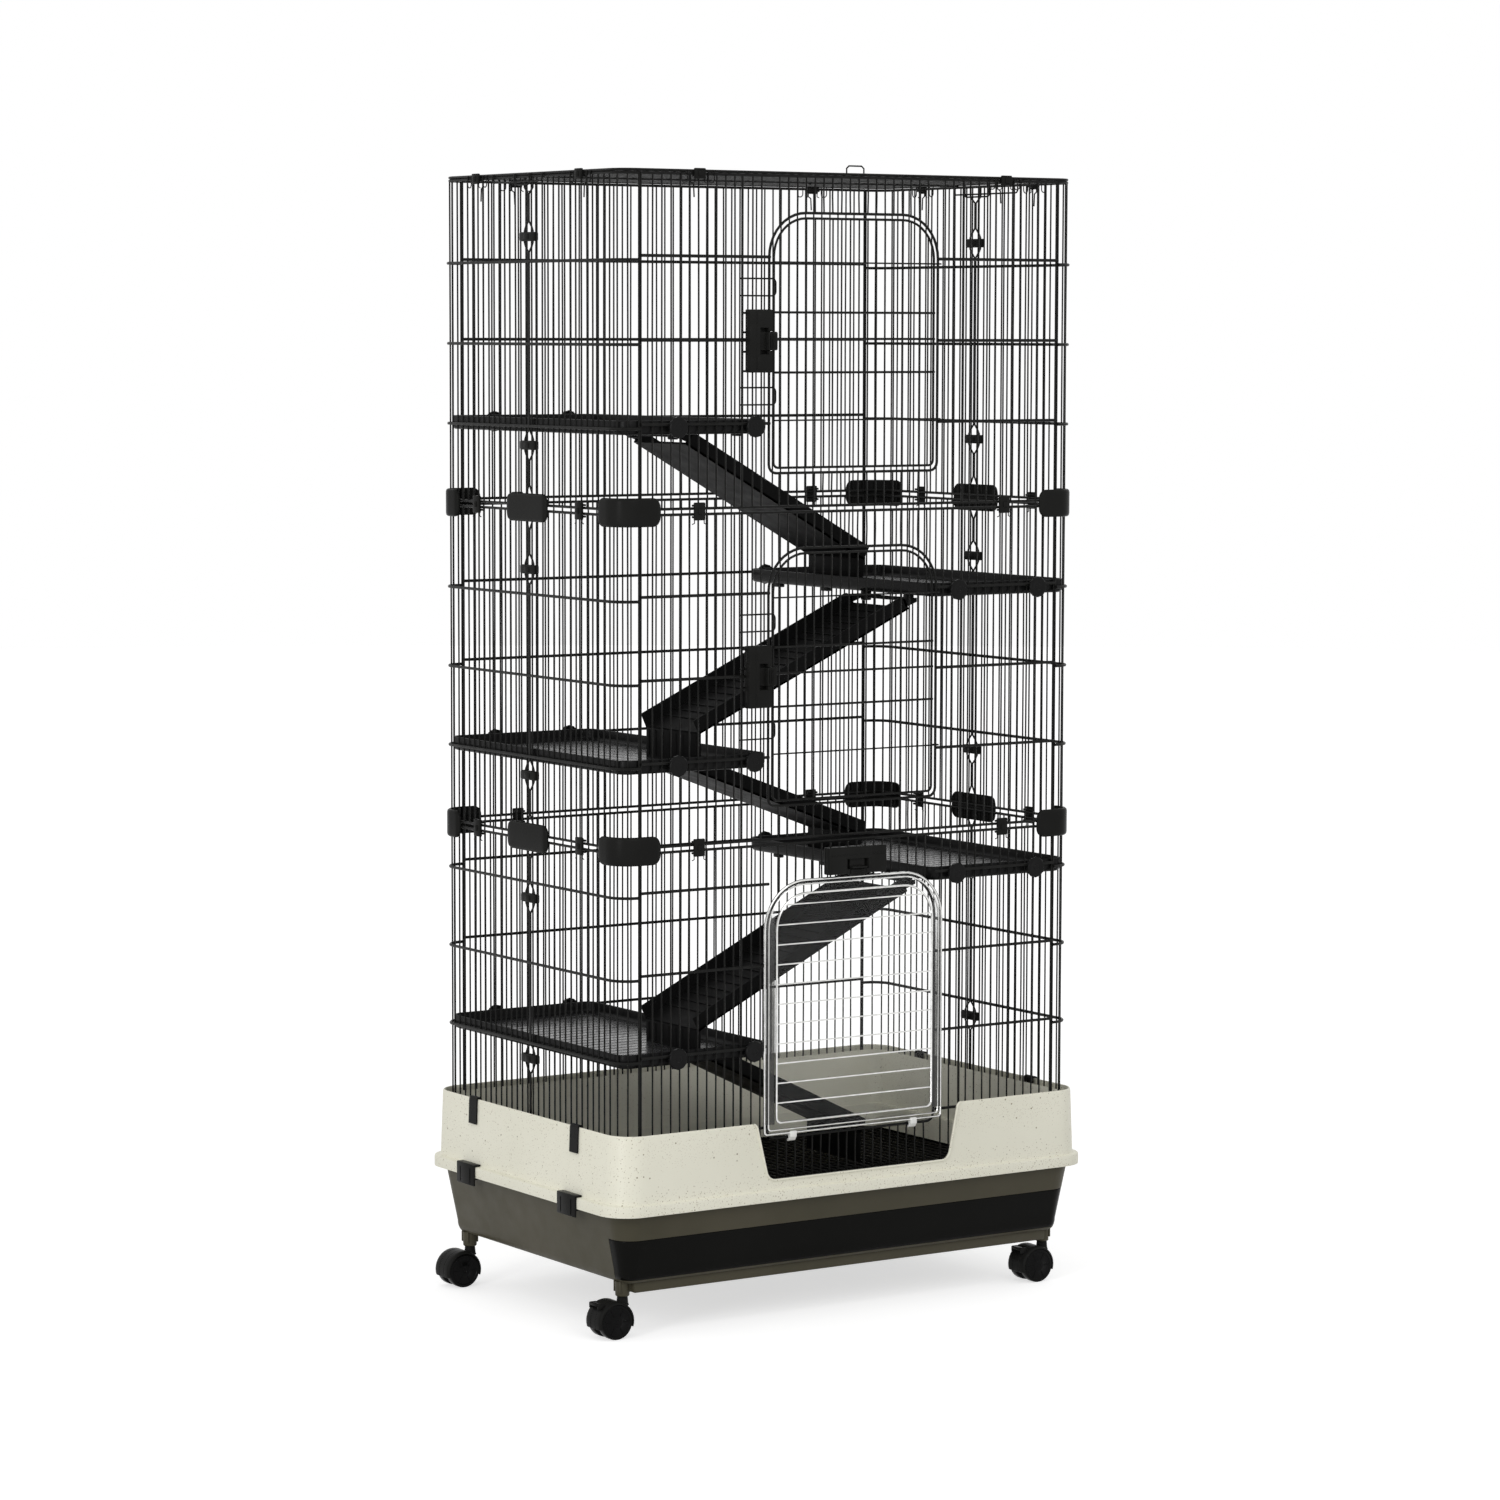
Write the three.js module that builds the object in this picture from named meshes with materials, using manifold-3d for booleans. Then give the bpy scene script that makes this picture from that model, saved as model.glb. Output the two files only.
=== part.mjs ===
// Three-tier ferret cage on casters.
//
// Three storeys of wire wall stand on a plastic base and are held to each other by clip-on connectors.
// The base is a tapered tub with a pull-out pan, a skirt with a low front doorway, and a wire floor.
// Inside are five shelves and five ramps. Each storey has a front door with a sliding latch, the roof
// has a hatch, and the cage rolls on four hooded twin-wheel casters.
//
// Millimetres. +Z is up, the front faces -Y, and the origin is on the floor under the middle of the cage.

import * as THREE from 'three';
import { mergeVertices } from 'three/addons/utils/BufferGeometryUtils.js';
import Module from 'manifold-3d';

const wasm = await Module();
wasm.setup();

// ---------------------------------------------------------------------------------------------
// Driving sizes
// ---------------------------------------------------------------------------------------------

const GAP = 0.3;                  // clearance between neighbouring pieces
const BITE = 0.8;                 // how far one wire sinks into the wire it is welded to

// Wire walls, measured on the centre lines of the wires
const wallWidth = 780;
const wallDepth = 490;
const wallCorner = 28;
const railHalf = 2;               // square top and bottom rails, half their thickness
const postHalf = 2;               // upright posts
const barRadius = 1.3;            // thin upright wires
const barPitch = 45;              // the real cage has a wire every 15, so this is every third one
const rungRadius = 1.5;           // horizontal wires, on the outside of the uprights
const rungOut = 3;                // from the uprights' centre line out to the rungs'
const rungPitch = 116;
const frontRungRise = 1;          // front and back rungs sit a little above the mean, side rungs below it
const sideRungDrop = 5;
const lowTierHeight = 480;
const tierHeight = 462;
const seamPitch = 8;              // between the rails of two neighbouring storeys
const lowTierTopSpan = 56;        // from the top rail of the lowest storey down to its first rung

// Doors in the front wall
const doorwayHalf = 145;          // half the width of the opening, on the rim's centre line
const doorwayHeight = 364;
const doorwayCorner = 62;
const doorwayFoot = 12;           // small radius at the bottom corners
const doorPostX = 190;            // uprights beside the doorways
const doorStopDrop = 104;         // door stops, down from a doorway's top and up from its foot
const doorStopRise = 108;
const upperDoorwayLift = 47;      // from the bottom rail to the rim of an upper doorway
const lowDoorwayLift = 60;
const doorInset = 7.5;            // from the doorway's rim to the door's own frame
const doorProud = 0.5;            // the doors stand this far in front of the wall's centre line
const doorFrameHalf = 1.7;
const doorCrossOut = 2.6;
const lowEyeRise = 4.2;           // hinge eyes above the lowest rung and below the highest
const highEyeDrop = 6;
const eyeRadius = 4.6;
const eyeWire = 1.2;

// Drop door at the bottom: clear panel with a chromed wire frame on its inside
const panelHalf = 155;
const panelHeight = 364;
const panelCorner = 70;
const panelThickness = 3;
const panelFrameInset = 20;
const panelFootRise = 5;          // the panel's lower edge above the doorway's rim, clear of it at 110 degrees
const panelBarPitch = 45;
const panelHingeX = 105;
const panelHingeHalf = 6;
const panelHingeRadius = 6.2;
const panelHingeBore = 3.6;

// Latches
const latchWidth = 39;
const latchHeight = 88;
const latchLip = 3;               // front lips that keep the bolt in its slot
const boltWidth = 32.5;
const boltHeight = 46;
const boltDepth = 4.4;
const knobHeight = 38;
const knobRise = 9;
const sideLatchBed = 5;           // from the latch's back to its slot
const lowLatchBed = 7;

// Seam connectors and clips
const connectorSideReach = 23;    // how far a corner connector runs past the bend on each wall
const connectorFrontReach = 35;
const connectorHalf = 55;         // half the length of a connector at the middle of a side
const connectorHeight = 40;
const connectorThickness = 5;
const clipWidth = 18;
const clipHeight = 25;
const clipThickness = 4;
const clipAlongFront = 263;
const clipAlongSide = 142;
const seamClipHeight = 14;
const seamClipWidth = 26;
const seamClipInset = 84;         // from a storey's ends to the clips that join its side panels
const lowSeamClipInset = 164;

// Roof
const roofBarPitch = 75;
const hatchWidth = 240;
const hatchDepth = 210;
const hatchX = 60;
const hatchY = -60;
const hatchCorner = 18;
const hatchEyeX = 60;

// Skirt: the pale upper base
const skirtSideRoom = 11;         // from the walls' centre lines out to the skirt's top edge
const skirtFrontRoom = 19;
const skirtWidth = wallWidth + 2 * skirtSideRoom;
const skirtDepth = wallDepth + 2 * skirtFrontRoom;
const skirtCorner = 40;
const skirtTop = 291;
const skirtWall = 3;
const skirtFlare = 3;             // the wall leans out by this much on its way down
const flangeSideReach = 13;       // the flange stands out from the skirt's top edge
const flangeFrontReach = 8;
const flangeWidth = skirtWidth + 2 * flangeSideReach;
const flangeDepth = skirtDepth + 2 * flangeFrontReach;
const flangeCorner = 46;
const flangeTop = 194;
const flangeBottom = 178;
const ledgeTop = 201.7;           // the lowest storey stands on this ledge inside the skirt
const ledgeReach = 24;
const ledgeThickness = 3;
const cutoutFoot = 208;
const cutoutTopHalf = 167;
const cutoutFootHalf = 146;
const cutoutCorner = 18;
const flangeClipHalf = 25;

// Tub: the dark lower base
const tubSideInset = 1;           // the tub's wall stands in from the skirt's top edge
const tubFrontInset = 2;
const tubWidth = skirtWidth - 2 * tubSideInset;
const tubDepth = skirtDepth - 2 * tubFrontInset;
const tubCorner = 40;
const tubTop = 190.7;
const tubBottom = 78;
const tubWall = 3;
const tubRimDepth = 5;
const tubTaper = 19;
const tubRoundHeight = 17;
const tubRoundInset = 9;
const apronDrop = 15;
const apronDepth = 14;
const gridLedgeTop = 157.7;
const gridLedgeReach = 12;

// Pull-out drawer
const drawerTop = 141;
const drawerFoot = 83;
const drawerFrontDepth = 49;      // how far the drawer's front wraps round the corners
const runnerInset = 100;          // from the tub's side in to the middle of a runner
const runnerX = tubWidth / 2 - runnerInset;
const panSideInset = 50;
const panHalfWidth = tubWidth / 2 - panSideInset;
const panBackInset = 35;
const panHeight = 38;
const panWall = 2.5;
const gripWidth = 120;
const gripHeight = 16;
const gripDepth = 14;

// Wire floor
const gridFrame = 3;              // half the thickness of its rim wire
const gridWire = 1.1;
const gridPitch = 64;

// Shelves
const shelfReach = 246;
const shelfHeight = 20;
const shelfWall = 3;
const shelfFloor = 3;
const shelfCorner = 20;
const shelfKnobRadius = 15;
const shelfKnobThickness = 6;
const shelfShaft = 2.5;
const leftKnobInsets = [90, 218]; // from the side walls in to the clamping knobs
const rightKnobInsets = [210, 68];
const shelfLugs = [40, 165];      // spare ramp lugs on the right-hand shelves, mirrored on the left

// Ramps
const rampWidth = 142;
const rampWall = 22;
const rampSkin = 3;
const rampRibPitch = 60;
const rampRibHeight = 3;
const rampEdgeGap = 3;            // from the shelf's edge to the ramp
const rampPinRadius = 3;
const rampPinInset = 8;           // the pin lies under the shelf, this far in from its edge
const rampPinDrop = 7;
const rampLugHalf = 5;
const rampLugInset = 17;
const rampDrop = 20;              // the ramp's skin starts this far below the shelf
const rampFront = { left: -15, right: -190 };
const rampLanding = { left: 38.2, right: 85.2 };   // how far its foot lands past the opposite shelf's edge
const rampFoot = { 5: 62, 4: 65, 3: 62, 2: 54, 1: 67 };

// Casters
const casterSideInset = 32;       // from the tub's sides in to the stems
const casterFrontInset = 48;
const casterX = tubWidth / 2 - casterSideInset;
const casterY = tubDepth / 2 - casterFrontInset;
const casterTrail = 20;           // the axle lies this far behind the stem
const wheelRadius = 25;
const wheelWidth = 13;
const wheelHalfTrack = 13.5;      // from the middle of the caster to the middle of a wheel
const hoodRadius = 29;
const stemRadius = 5.5;
const stemSides = 12;
const bossRadius = 10;
const bossFoot = 58;
const leverReach = 24;            // from the axle out to the brake lever's pin
const leverRise = 25;
const brakedCasters = ['front_left', 'front_right'];

// ---------------------------------------------------------------------------------------------
// Materials
// ---------------------------------------------------------------------------------------------

const finish = (color, roughness, metalness = 0) => new THREE.MeshStandardMaterial({ color, roughness, metalness });
const finishes = {
  blackWire: () => finish(0x1c1c1b, 0.42, 0.3),
  blackPlastic: () => finish(0x1a1a19, 0.45),
  glossBlack: () => finish(0x141411, 0.22),
  taupePlastic: () => finish(0x544f43, 0.5),
  palePlastic: () => finish(0xdedbcd, 0.45),
  wheelPlastic: () => finish(0x161616, 0.35),
  clearPanel: () => finish(0xd8dad8, 0.1),
};

// ---------------------------------------------------------------------------------------------
// Solids
// ---------------------------------------------------------------------------------------------

const V = (x, y, z) => new THREE.Vector3(x, y, z);
const X = V(1, 0, 0);
const Y = V(0, 1, 0);
const Z = V(0, 0, 1);

/** Turns a closed three.js geometry into a solid that can be joined and cut. */
function solid(geometry) {
  const bare = geometry.clone();
  for (const name of Object.keys(bare.attributes)) if (name !== 'position') bare.deleteAttribute(name);
  const merged = mergeVertices(bare, 1e-4);
  return new wasm.Manifold(new wasm.Mesh({
    numProp: 3,
    vertProperties: Float32Array.from(merged.attributes.position.array),
    triVerts: Uint32Array.from(merged.index.array),
  }));
}

const join = (...parts) => parts.flat().reduce((whole, part) => whole.add(part));
const cut = (whole, ...tools) => tools.flat().reduce((rest, tool) => rest.subtract(tool), whole);

/** A box between two corners. */
function block(x0, x1, y0, y1, z0, z1) {
  const geometry = new THREE.BoxGeometry(x1 - x0, y1 - y0, z1 - z0);
  geometry.translate((x0 + x1) / 2, (y0 + y1) / 2, (z0 + z1) / 2);
  return solid(geometry);
}

/** A round or few-sided rod from one point to another, with its own radius at each end. */
function rod(from, to, radius, sides, endRadius = radius, turn = 0) {
  const along = to.clone().sub(from);
  const geometry = new THREE.CylinderGeometry(endRadius, radius, along.length(), sides);
  geometry.rotateY(turn);
  geometry.applyQuaternion(new THREE.Quaternion().setFromUnitVectors(Y, along.clone().normalize()));
  geometry.translate(...from.clone().add(to).multiplyScalar(0.5).toArray());
  return solid(geometry);
}

/** Skins rings that all have the same number of points, and closes both ends with flat convex caps. */
function skin(rings, closed = false) {
  const count = rings[0].length;
  const positions = rings.flat().flatMap((point) => point.toArray());
  const index = [];
  const spans = closed ? rings.length : rings.length - 1;
  for (let ring = 0; ring < spans; ring++) {
    const next = (ring + 1) % rings.length;
    for (let k = 0; k < count; k++) {
      const a = ring * count + k;
      const b = ring * count + (k + 1) % count;
      const c = next * count + (k + 1) % count;
      const d = next * count + k;
      index.push(a, b, c, a, c, d);
    }
  }
  if (!closed) {
    const last = (rings.length - 1) * count;
    for (let k = 1; k < count - 1; k++) index.push(0, k + 1, k, last, last + k, last + k + 1);
  }
  const geometry = new THREE.BufferGeometry();
  geometry.setAttribute('position', new THREE.Float32BufferAttribute(positions, 3));
  geometry.setIndex(index);
  const made = solid(geometry);
  if (made.volume() > 0) return made;
  geometry.setIndex(index.slice().reverse());
  return solid(geometry);
}

/** A wire bent along points in one plane, mitred at every bend. An even-sided wire has flat faces. */
function wire(points, normal, radius, sides = 3, closed = false) {
  const count = points.length;
  const reach = sides === 4 ? radius * Math.SQRT2 : radius;
  const phase = sides === 4 ? Math.PI / 4 : 0;
  const direction = (a, b) => points[b].clone().sub(points[a]).normalize();
  const rings = points.map((point, k) => {
    const before = k > 0 || closed ? direction((k + count - 1) % count, k) : null;
    const after = k < count - 1 || closed ? direction(k, (k + 1) % count) : null;
    const tangent = before && after ? before.clone().add(after).normalize() : (before ?? after).clone();
    const side = normal.clone().cross(tangent).normalize();
    const stretch = 1 / tangent.dot(after ?? before);
    return Array.from({ length: sides }, (_, j) => {
      const angle = phase + 2 * Math.PI * j / sides;
      return point.clone()
        .addScaledVector(side, reach * Math.cos(angle) * stretch)
        .addScaledVector(normal, reach * Math.sin(angle));
    });
  });
  return skin(rings, closed);
}

/** Points of an arc in the plane of two unit vectors. */
function arc(centre, radius, from, to, steps, u = X, v = Y) {
  return Array.from({ length: steps + 1 }, (_, k) => {
    const angle = from + (to - from) * k / steps;
    return centre.clone()
      .addScaledVector(u, radius * Math.cos(angle))
      .addScaledVector(v, radius * Math.sin(angle));
  });
}

/** A rounded rectangle as a ring of points, in the plane of u and v. */
function roundedRing(halfU, halfV, radius, centre, steps, u = X, v = Y) {
  const corners = [[1, 1], [-1, 1], [-1, -1], [1, -1]];
  return corners.flatMap(([su, sv], k) => {
    const middle = centre.clone()
      .addScaledVector(u, su * (halfU - radius))
      .addScaledVector(v, sv * (halfV - radius));
    return arc(middle, radius, k * Math.PI / 2, (k + 1) * Math.PI / 2, steps, u, v);
  });
}

/** A tapering rounded-rectangle tub: levels are [height, inset], and the corners shrink with the inset. */
function tubSolid(halfX, halfY, radius, levels, steps = 2) {
  return skin(levels.map(([z, inset]) => (
    roundedRing(halfX - inset, halfY - inset, Math.max(radius - inset, 2), V(0, 0, z), steps)
  )));
}

/** A flat outline in the plane of u and v, given thickness along the third direction. */
function plate(outline, normal, thickness) {
  return skin([outline, outline.map((point) => point.clone().addScaledVector(normal, thickness))]);
}

const cage = new THREE.Group();
cage.name = 'ferret_cage';

/** Adds a finished solid to the cage as a named mesh. */
function place(name, made, material) {
  const { vertProperties, triVerts, numProp } = made.getMesh();
  const positions = new Float32Array(vertProperties.length / numProp * 3);
  for (let k = 0; k < positions.length / 3; k++) {
    for (let axis = 0; axis < 3; axis++) positions[3 * k + axis] = vertProperties[numProp * k + axis];
  }
  const geometry = new THREE.BufferGeometry();
  geometry.setAttribute('position', new THREE.BufferAttribute(positions, 3));
  geometry.setIndex(Array.from(triVerts));
  geometry.computeVertexNormals();
  const mesh = new THREE.Mesh(geometry, material);
  mesh.name = name;
  cage.add(mesh);
}

// ---------------------------------------------------------------------------------------------
// Storeys
// ---------------------------------------------------------------------------------------------

const halfWidth = wallWidth / 2;
const halfDepth = wallDepth / 2;
const bendX = halfWidth - wallCorner;             // where a side panel's corner ends on the front and back
const postX = bendX - postHalf + 0.4;             // the posts that end the side panels

const lowBottom = ledgeTop + GAP + railHalf;
function stack() {
  const second = lowBottom + lowTierHeight + seamPitch;
  return [
    { level: 1, bottom: lowBottom, height: lowTierHeight },
    { level: 2, bottom: second, height: tierHeight },
    { level: 3, bottom: second + tierHeight + seamPitch, height: tierHeight },
  ];
}
const tiers = stack();
const [lowTier, middleTier, topTier] = tiers;
for (const tier of tiers) {
  tier.top = tier.bottom + tier.height;
  tier.rungs = tier.level === 1
    ? [3, 2, 1, 0].map((k) => tier.top - lowTierTopSpan - k * rungPitch)
    : [1, 2, 3].map((k) => tier.bottom + k * rungPitch);
  tier.doorFoot = tier.bottom + (tier.level === 1 ? lowDoorwayLift : upperDoorwayLift);
  tier.doorTop = tier.doorFoot + doorwayHeight;
}
const roofRail = topTier.top;
const roofZ = roofRail + railHalf + GAP + railHalf;

/** A thin upright wire whose ends sink into whatever it is welded to. */
const bar = (x, y, from, to) => rod(V(x, y, from), V(x, y, to), barRadius, 3);
const post = (x, y, from, to) => block(x - postHalf, x + postHalf, y - postHalf, y + postHalf, from, to);

/** Evenly spaced places between two limits, mirrored about the middle. */
function spread(limit, pitch) {
  const count = Math.floor((limit - pitch / 2) / pitch) + 1;
  const half = Array.from({ length: count }, (_, k) => (k + 0.5) * pitch);
  return [...half.map((value) => -value).reverse(), ...half];
}

/** The arched outline of a doorway or a door, in the plane of the front wall. */
function archOutline(half, foot, top, y, shoulder, toe, shoulderSteps = 4) {
  return [
    ...arc(V(half - shoulder, y, top - shoulder), shoulder, 0, Math.PI / 2, shoulderSteps, X, Z),
    ...arc(V(shoulder - half, y, top - shoulder), shoulder, Math.PI / 2, Math.PI, shoulderSteps, X, Z),
    ...arc(V(toe - half, y, foot + toe), toe, Math.PI, 1.5 * Math.PI, 2, X, Z),
    ...arc(V(half - toe, y, foot + toe), toe, 1.5 * Math.PI, 2 * Math.PI, 2, X, Z),
  ];
}

/** The height of an arch's centre line above a place along its width. */
function archHeight(x, half, top, shoulder) {
  const past = Math.max(Math.abs(x) - (half - shoulder), 0);
  return top - shoulder + Math.sqrt(shoulder ** 2 - past ** 2);
}

/** Posts, rails and rungs of a flat front or back panel, and where its thin uprights go. */
function flatPanel(tier, y, openings) {
  const out = Math.sign(y);
  const end = postX - postHalf - GAP;
  const pieces = [tier.bottom, tier.top].map((z) => (
    block(-end, end, y - railHalf, y + railHalf, z - railHalf, z + railHalf)
  ));
  pieces.push(post(-end + postHalf, y, tier.bottom, tier.top), post(end - postHalf, y, tier.bottom, tier.top));
  for (const z of tier.rungs) {
    const height = z + frontRungRise;
    const runs = openings ? [[-end, -doorwayHalf], [doorwayHalf, end]] : [[-end, end]];
    for (const run of runs) {
      const path = run.map((x) => V(-out * x, y + out * rungOut, height));
      pieces.push(wire(path, Z, rungRadius));
    }
  }
  return pieces;
}

/** A box in a latch's own directions: along the door's edge, across it, and out from the wall. */
function latchBox(centre, along, across, length, shift, width, near, far) {
  const ring = (depth) => [[1, 1], [-1, 1], [-1, -1], [1, -1]].map(([su, sv]) => (
    centre.clone().addScaledVector(along, su * length / 2)
      .addScaledVector(across, shift + sv * width / 2).addScaledVector(Y, -depth)
  ));
  return skin([ring(near), ring(far)]);
}

/** The latch's housing: a block with a slot for the bolt and a narrower window for its knob. */
function latchBody(centre, along, across, bed) {
  const slotTop = bed + boltDepth + 2 * GAP;
  return cut(
    latchBox(centre, along, across, latchHeight, 0, latchWidth, 0, slotTop + latchLip),
    latchBox(centre, along, across, boltHeight + 2, 0, latchWidth + 4, bed, slotTop),
    latchBox(centre, along, across, knobHeight + 2, 0, latchWidth + 4, slotTop - 1, slotTop + latchLip + 1),
  );
}

/** The latch's bolt with its raised knob. */
function latchBolt(centre, along, across, bed, shift) {
  const back = bed + GAP;
  return join(
    latchBox(centre, along, across, boltHeight, shift, boltWidth, back, back + boltDepth),
    latchBox(centre, along, across, knobHeight, shift, boltWidth, back + boltDepth - 1, back + boltDepth + latchLip + 1),
    latchBox(centre, along, across, knobHeight - 8, shift, 9, back + boltDepth, back + boltDepth + knobRise),
  );
}

const frontY = -halfDepth;
const latchBack = frontY - BITE;
const rungFace = frontY - rungOut - rungRadius / 2;

/** Side latches fill the space between the door post and the doorway's rim. */
const sideLatchCentre = (tier) => V(-(doorwayHalf + postHalf) - latchWidth / 2, latchBack, tier.rungs[1]);
const sideBoltEnd = -(doorwayHalf - doorInset) - doorFrameHalf - GAP;
const sideBoltShift = sideBoltEnd - boltWidth / 2 + doorwayHalf + postHalf + latchWidth / 2;

/** The drop door's latch sits over the middle of its arch and slides up and down. */
const lowBoltEnd = (tier) => tier.doorFoot + panelFootRise + panelHeight + GAP;
const lowLatchCentre = (tier) => V(0, latchBack, lowBoltEnd(tier) + 3 + latchWidth / 2);
const lowBoltShift = -3 - latchWidth / 2 + boltWidth / 2;

function frontPanel(tier) {
  const y = frontY;
  const rimTop = tier.doorTop;
  const pieces = flatPanel(tier, y, true);
  const rim = archOutline(doorwayHalf, tier.doorFoot, rimTop, y, doorwayCorner, doorwayFoot);
  pieces.push(wire(rim, Y, postHalf, 4, true));
  for (const side of [-1, 1]) {
    const x = side * doorPostX;
    pieces.push(block(x - postHalf, x + postHalf, y - barRadius, y + postHalf, tier.bottom, tier.top));
  }
  for (const x of spread(bendX - barPitch / 2, barPitch)) {
    if (Math.abs(Math.abs(x) - doorPostX) < 8) continue;
    if (Math.abs(x) > doorwayHalf) {
      pieces.push(bar(x, y, tier.bottom, tier.top));
    } else {
      pieces.push(bar(x, y, tier.bottom, tier.doorFoot));
      pieces.push(bar(x, y, archHeight(x, doorwayHalf, rimTop, doorwayCorner), tier.top));
    }
  }
  return pieces;
}

/** U-shaped wire stops beside a door: welded to the post and the rim, they reach behind the door's edge. */
function doorStop(z) {
  const behind = frontY - doorProud + doorFrameHalf + GAP + eyeWire;
  const reach = -(doorwayHalf - doorInset) + 6;
  const half = 12;
  return wire([
    V(-doorPostX - postHalf, behind, z - half),
    V(reach - 4, behind, z - half),
    V(reach, behind, z - half + 4),
    V(reach, behind, z + half - 4),
    V(reach - 4, behind, z + half),
    V(-doorPostX - postHalf, behind, z + half),
  ], Y, eyeWire, 4);
}

/** An L-shaped clip outside a wall: its foot bites into one rail and its blade covers the next one. */
function snapClip(at, along, out, foot, step, tip) {
  const inner = railHalf - BITE;
  const face = railHalf + GAP;
  const profile = [[face, step], [face, tip], [face + clipThickness, tip], [face + clipThickness, foot],
    [inner, foot], [inner, step]];
  return skin([-1, 1].map((end) => profile.map(([depth, z]) => (
    at.clone().addScaledVector(along, end * clipWidth / 2).addScaledVector(out, depth).setZ(z)
  ))));
}

/** The clip that ties the top rail of one storey to the rail above it, which is the roof's rim at the top. */
function railClip(tier, along, out, at) {
  if (tier === topTier) {
    return snapClip(at, along, out, tier.top - railHalf - 2, tier.top + railHalf / 2, roofZ + railHalf + 1);
  }
  const middle = tier.top + seamPitch / 2;
  return snapClip(at, along, out, middle - clipHeight / 2, middle - 1, middle + clipHeight / 2);
}

function backPanel(tier) {
  const y = halfDepth;
  const pieces = flatPanel(tier, y, false);
  for (const x of spread(bendX - barPitch / 2, barPitch)) pieces.push(bar(x, y, tier.bottom, tier.top));
  for (const side of [-1, 1]) pieces.push(railClip(tier, X, Y, V(side * clipAlongFront, y, 0)));
  return join(pieces);
}

/** The path of a side panel's wires: from the front post round both corners to the back post. */
function sidePath(side, z, out = 0, steps = 2) {
  const radius = wallCorner + out;
  const centreX = side * (halfWidth - wallCorner);
  const centreY = halfDepth - wallCorner;
  const turn = side > 0 ? 0 : Math.PI;
  const mirror = (points) => points.map((point) => V(point.x, -point.y, point.z)).reverse();
  const bend = arc(V(centreX, centreY, z), radius, turn, Math.PI / 2, steps);
  const back = [...bend, V(centreX - side * (postHalf - 0.5), centreY + radius, z)];
  return [...mirror(back), ...back];
}

function sidePanel(tier, side) {
  const x = side * halfWidth;
  const pieces = [tier.bottom, tier.top].map((z) => wire(sidePath(side, z), Z, railHalf, 4));
  for (const z of tier.rungs) {
    const path = sidePath(side, z - sideRungDrop, rungOut);
    pieces.push(wire(side < 0 ? path.reverse() : path, Z, rungRadius));
  }
  for (const end of [-1, 1]) {
    pieces.push(post(side * postX, end * halfDepth, tier.bottom, tier.top));
    const bend = wallCorner * Math.SQRT1_2;
    pieces.push(bar(side * (bendX + bend), end * (halfDepth - wallCorner + bend), tier.bottom, tier.top));
  }
  const seam = [x - side * postHalf, x + side * barRadius].sort((a, b) => a - b);
  pieces.push(block(...seam, -postHalf, postHalf, tier.bottom, tier.top));
  for (const y of spread(halfDepth - wallCorner, barPitch)) pieces.push(bar(x, y, tier.bottom, tier.top));
  const lowClip = tier.level === 1 ? lowSeamClipInset : seamClipInset;
  for (const z of [tier.bottom + lowClip, tier.top - seamClipInset]) {
    pieces.push(block(x - 4, x + 4, -seamClipWidth / 2, seamClipWidth / 2,
      z - seamClipHeight / 2, z + seamClipHeight / 2));
  }
  for (const end of [-1, 1]) pieces.push(railClip(tier, Y, V(side, 0, 0), V(x, end * clipAlongSide, 0)));
  if (tier.level === 1) pieces.push(...[-1, 1].flatMap((end) => rimStrap(side, end * clipAlongSide, tier)));
  return join(pieces);
}

/** Strap that hooks the lowest storey over the skirt's rim and hangs down its outside. */
function rimStrap(side, y, tier) {
  const half = 11;
  const tongue = 38;
  const outer = skirtWidth / 2 + skirtFlare * tongue / (skirtTop - flangeTop) + GAP;
  const thick = 2;
  const inner = halfWidth - rungOut;
  const span = (a, b) => [Math.min(side * a, side * b), Math.max(side * a, side * b)];
  return [
    block(...span(outer, outer + thick), y - half, y + half, skirtTop - tongue, skirtTop + GAP + thick),
    block(...span(inner, outer + thick), y - half, y + half, skirtTop + GAP, skirtTop + GAP + thick),
    block(...span(inner, skirtWidth / 2 - skirtWall - 1), y - half, y + half,
      tier.rungs[0] - sideRungDrop - 4, skirtTop + GAP + thick),
  ];
}

for (const tier of tiers) {
  const pieces = frontPanel(tier);
  if (tier.level > 1) {
    pieces.push(doorStop(tier.doorTop - doorStopDrop), doorStop(tier.doorFoot + doorStopRise));
    pieces.push(latchBody(sideLatchCentre(tier), Z, X, sideLatchBed));
  } else {
    pieces.push(latchBody(lowLatchCentre(tier), X, Z, lowLatchBed));
  }
  for (const side of [-1, 1]) pieces.push(railClip(tier, X, V(0, -1, 0), V(side * clipAlongFront, frontY, 0)));
  place(`front_panel_${tier.level}`, join(pieces), finishes.blackWire());
  place(`back_panel_${tier.level}`, backPanel(tier), finishes.blackWire());
  place(`left_panel_${tier.level}`, sidePanel(tier, -1), finishes.blackWire());
  place(`right_panel_${tier.level}`, sidePanel(tier, 1), finishes.blackWire());
}

// ---------------------------------------------------------------------------------------------
// Seam connectors: pill-shaped covers that straddle the two rails from outside
// ---------------------------------------------------------------------------------------------

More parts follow.
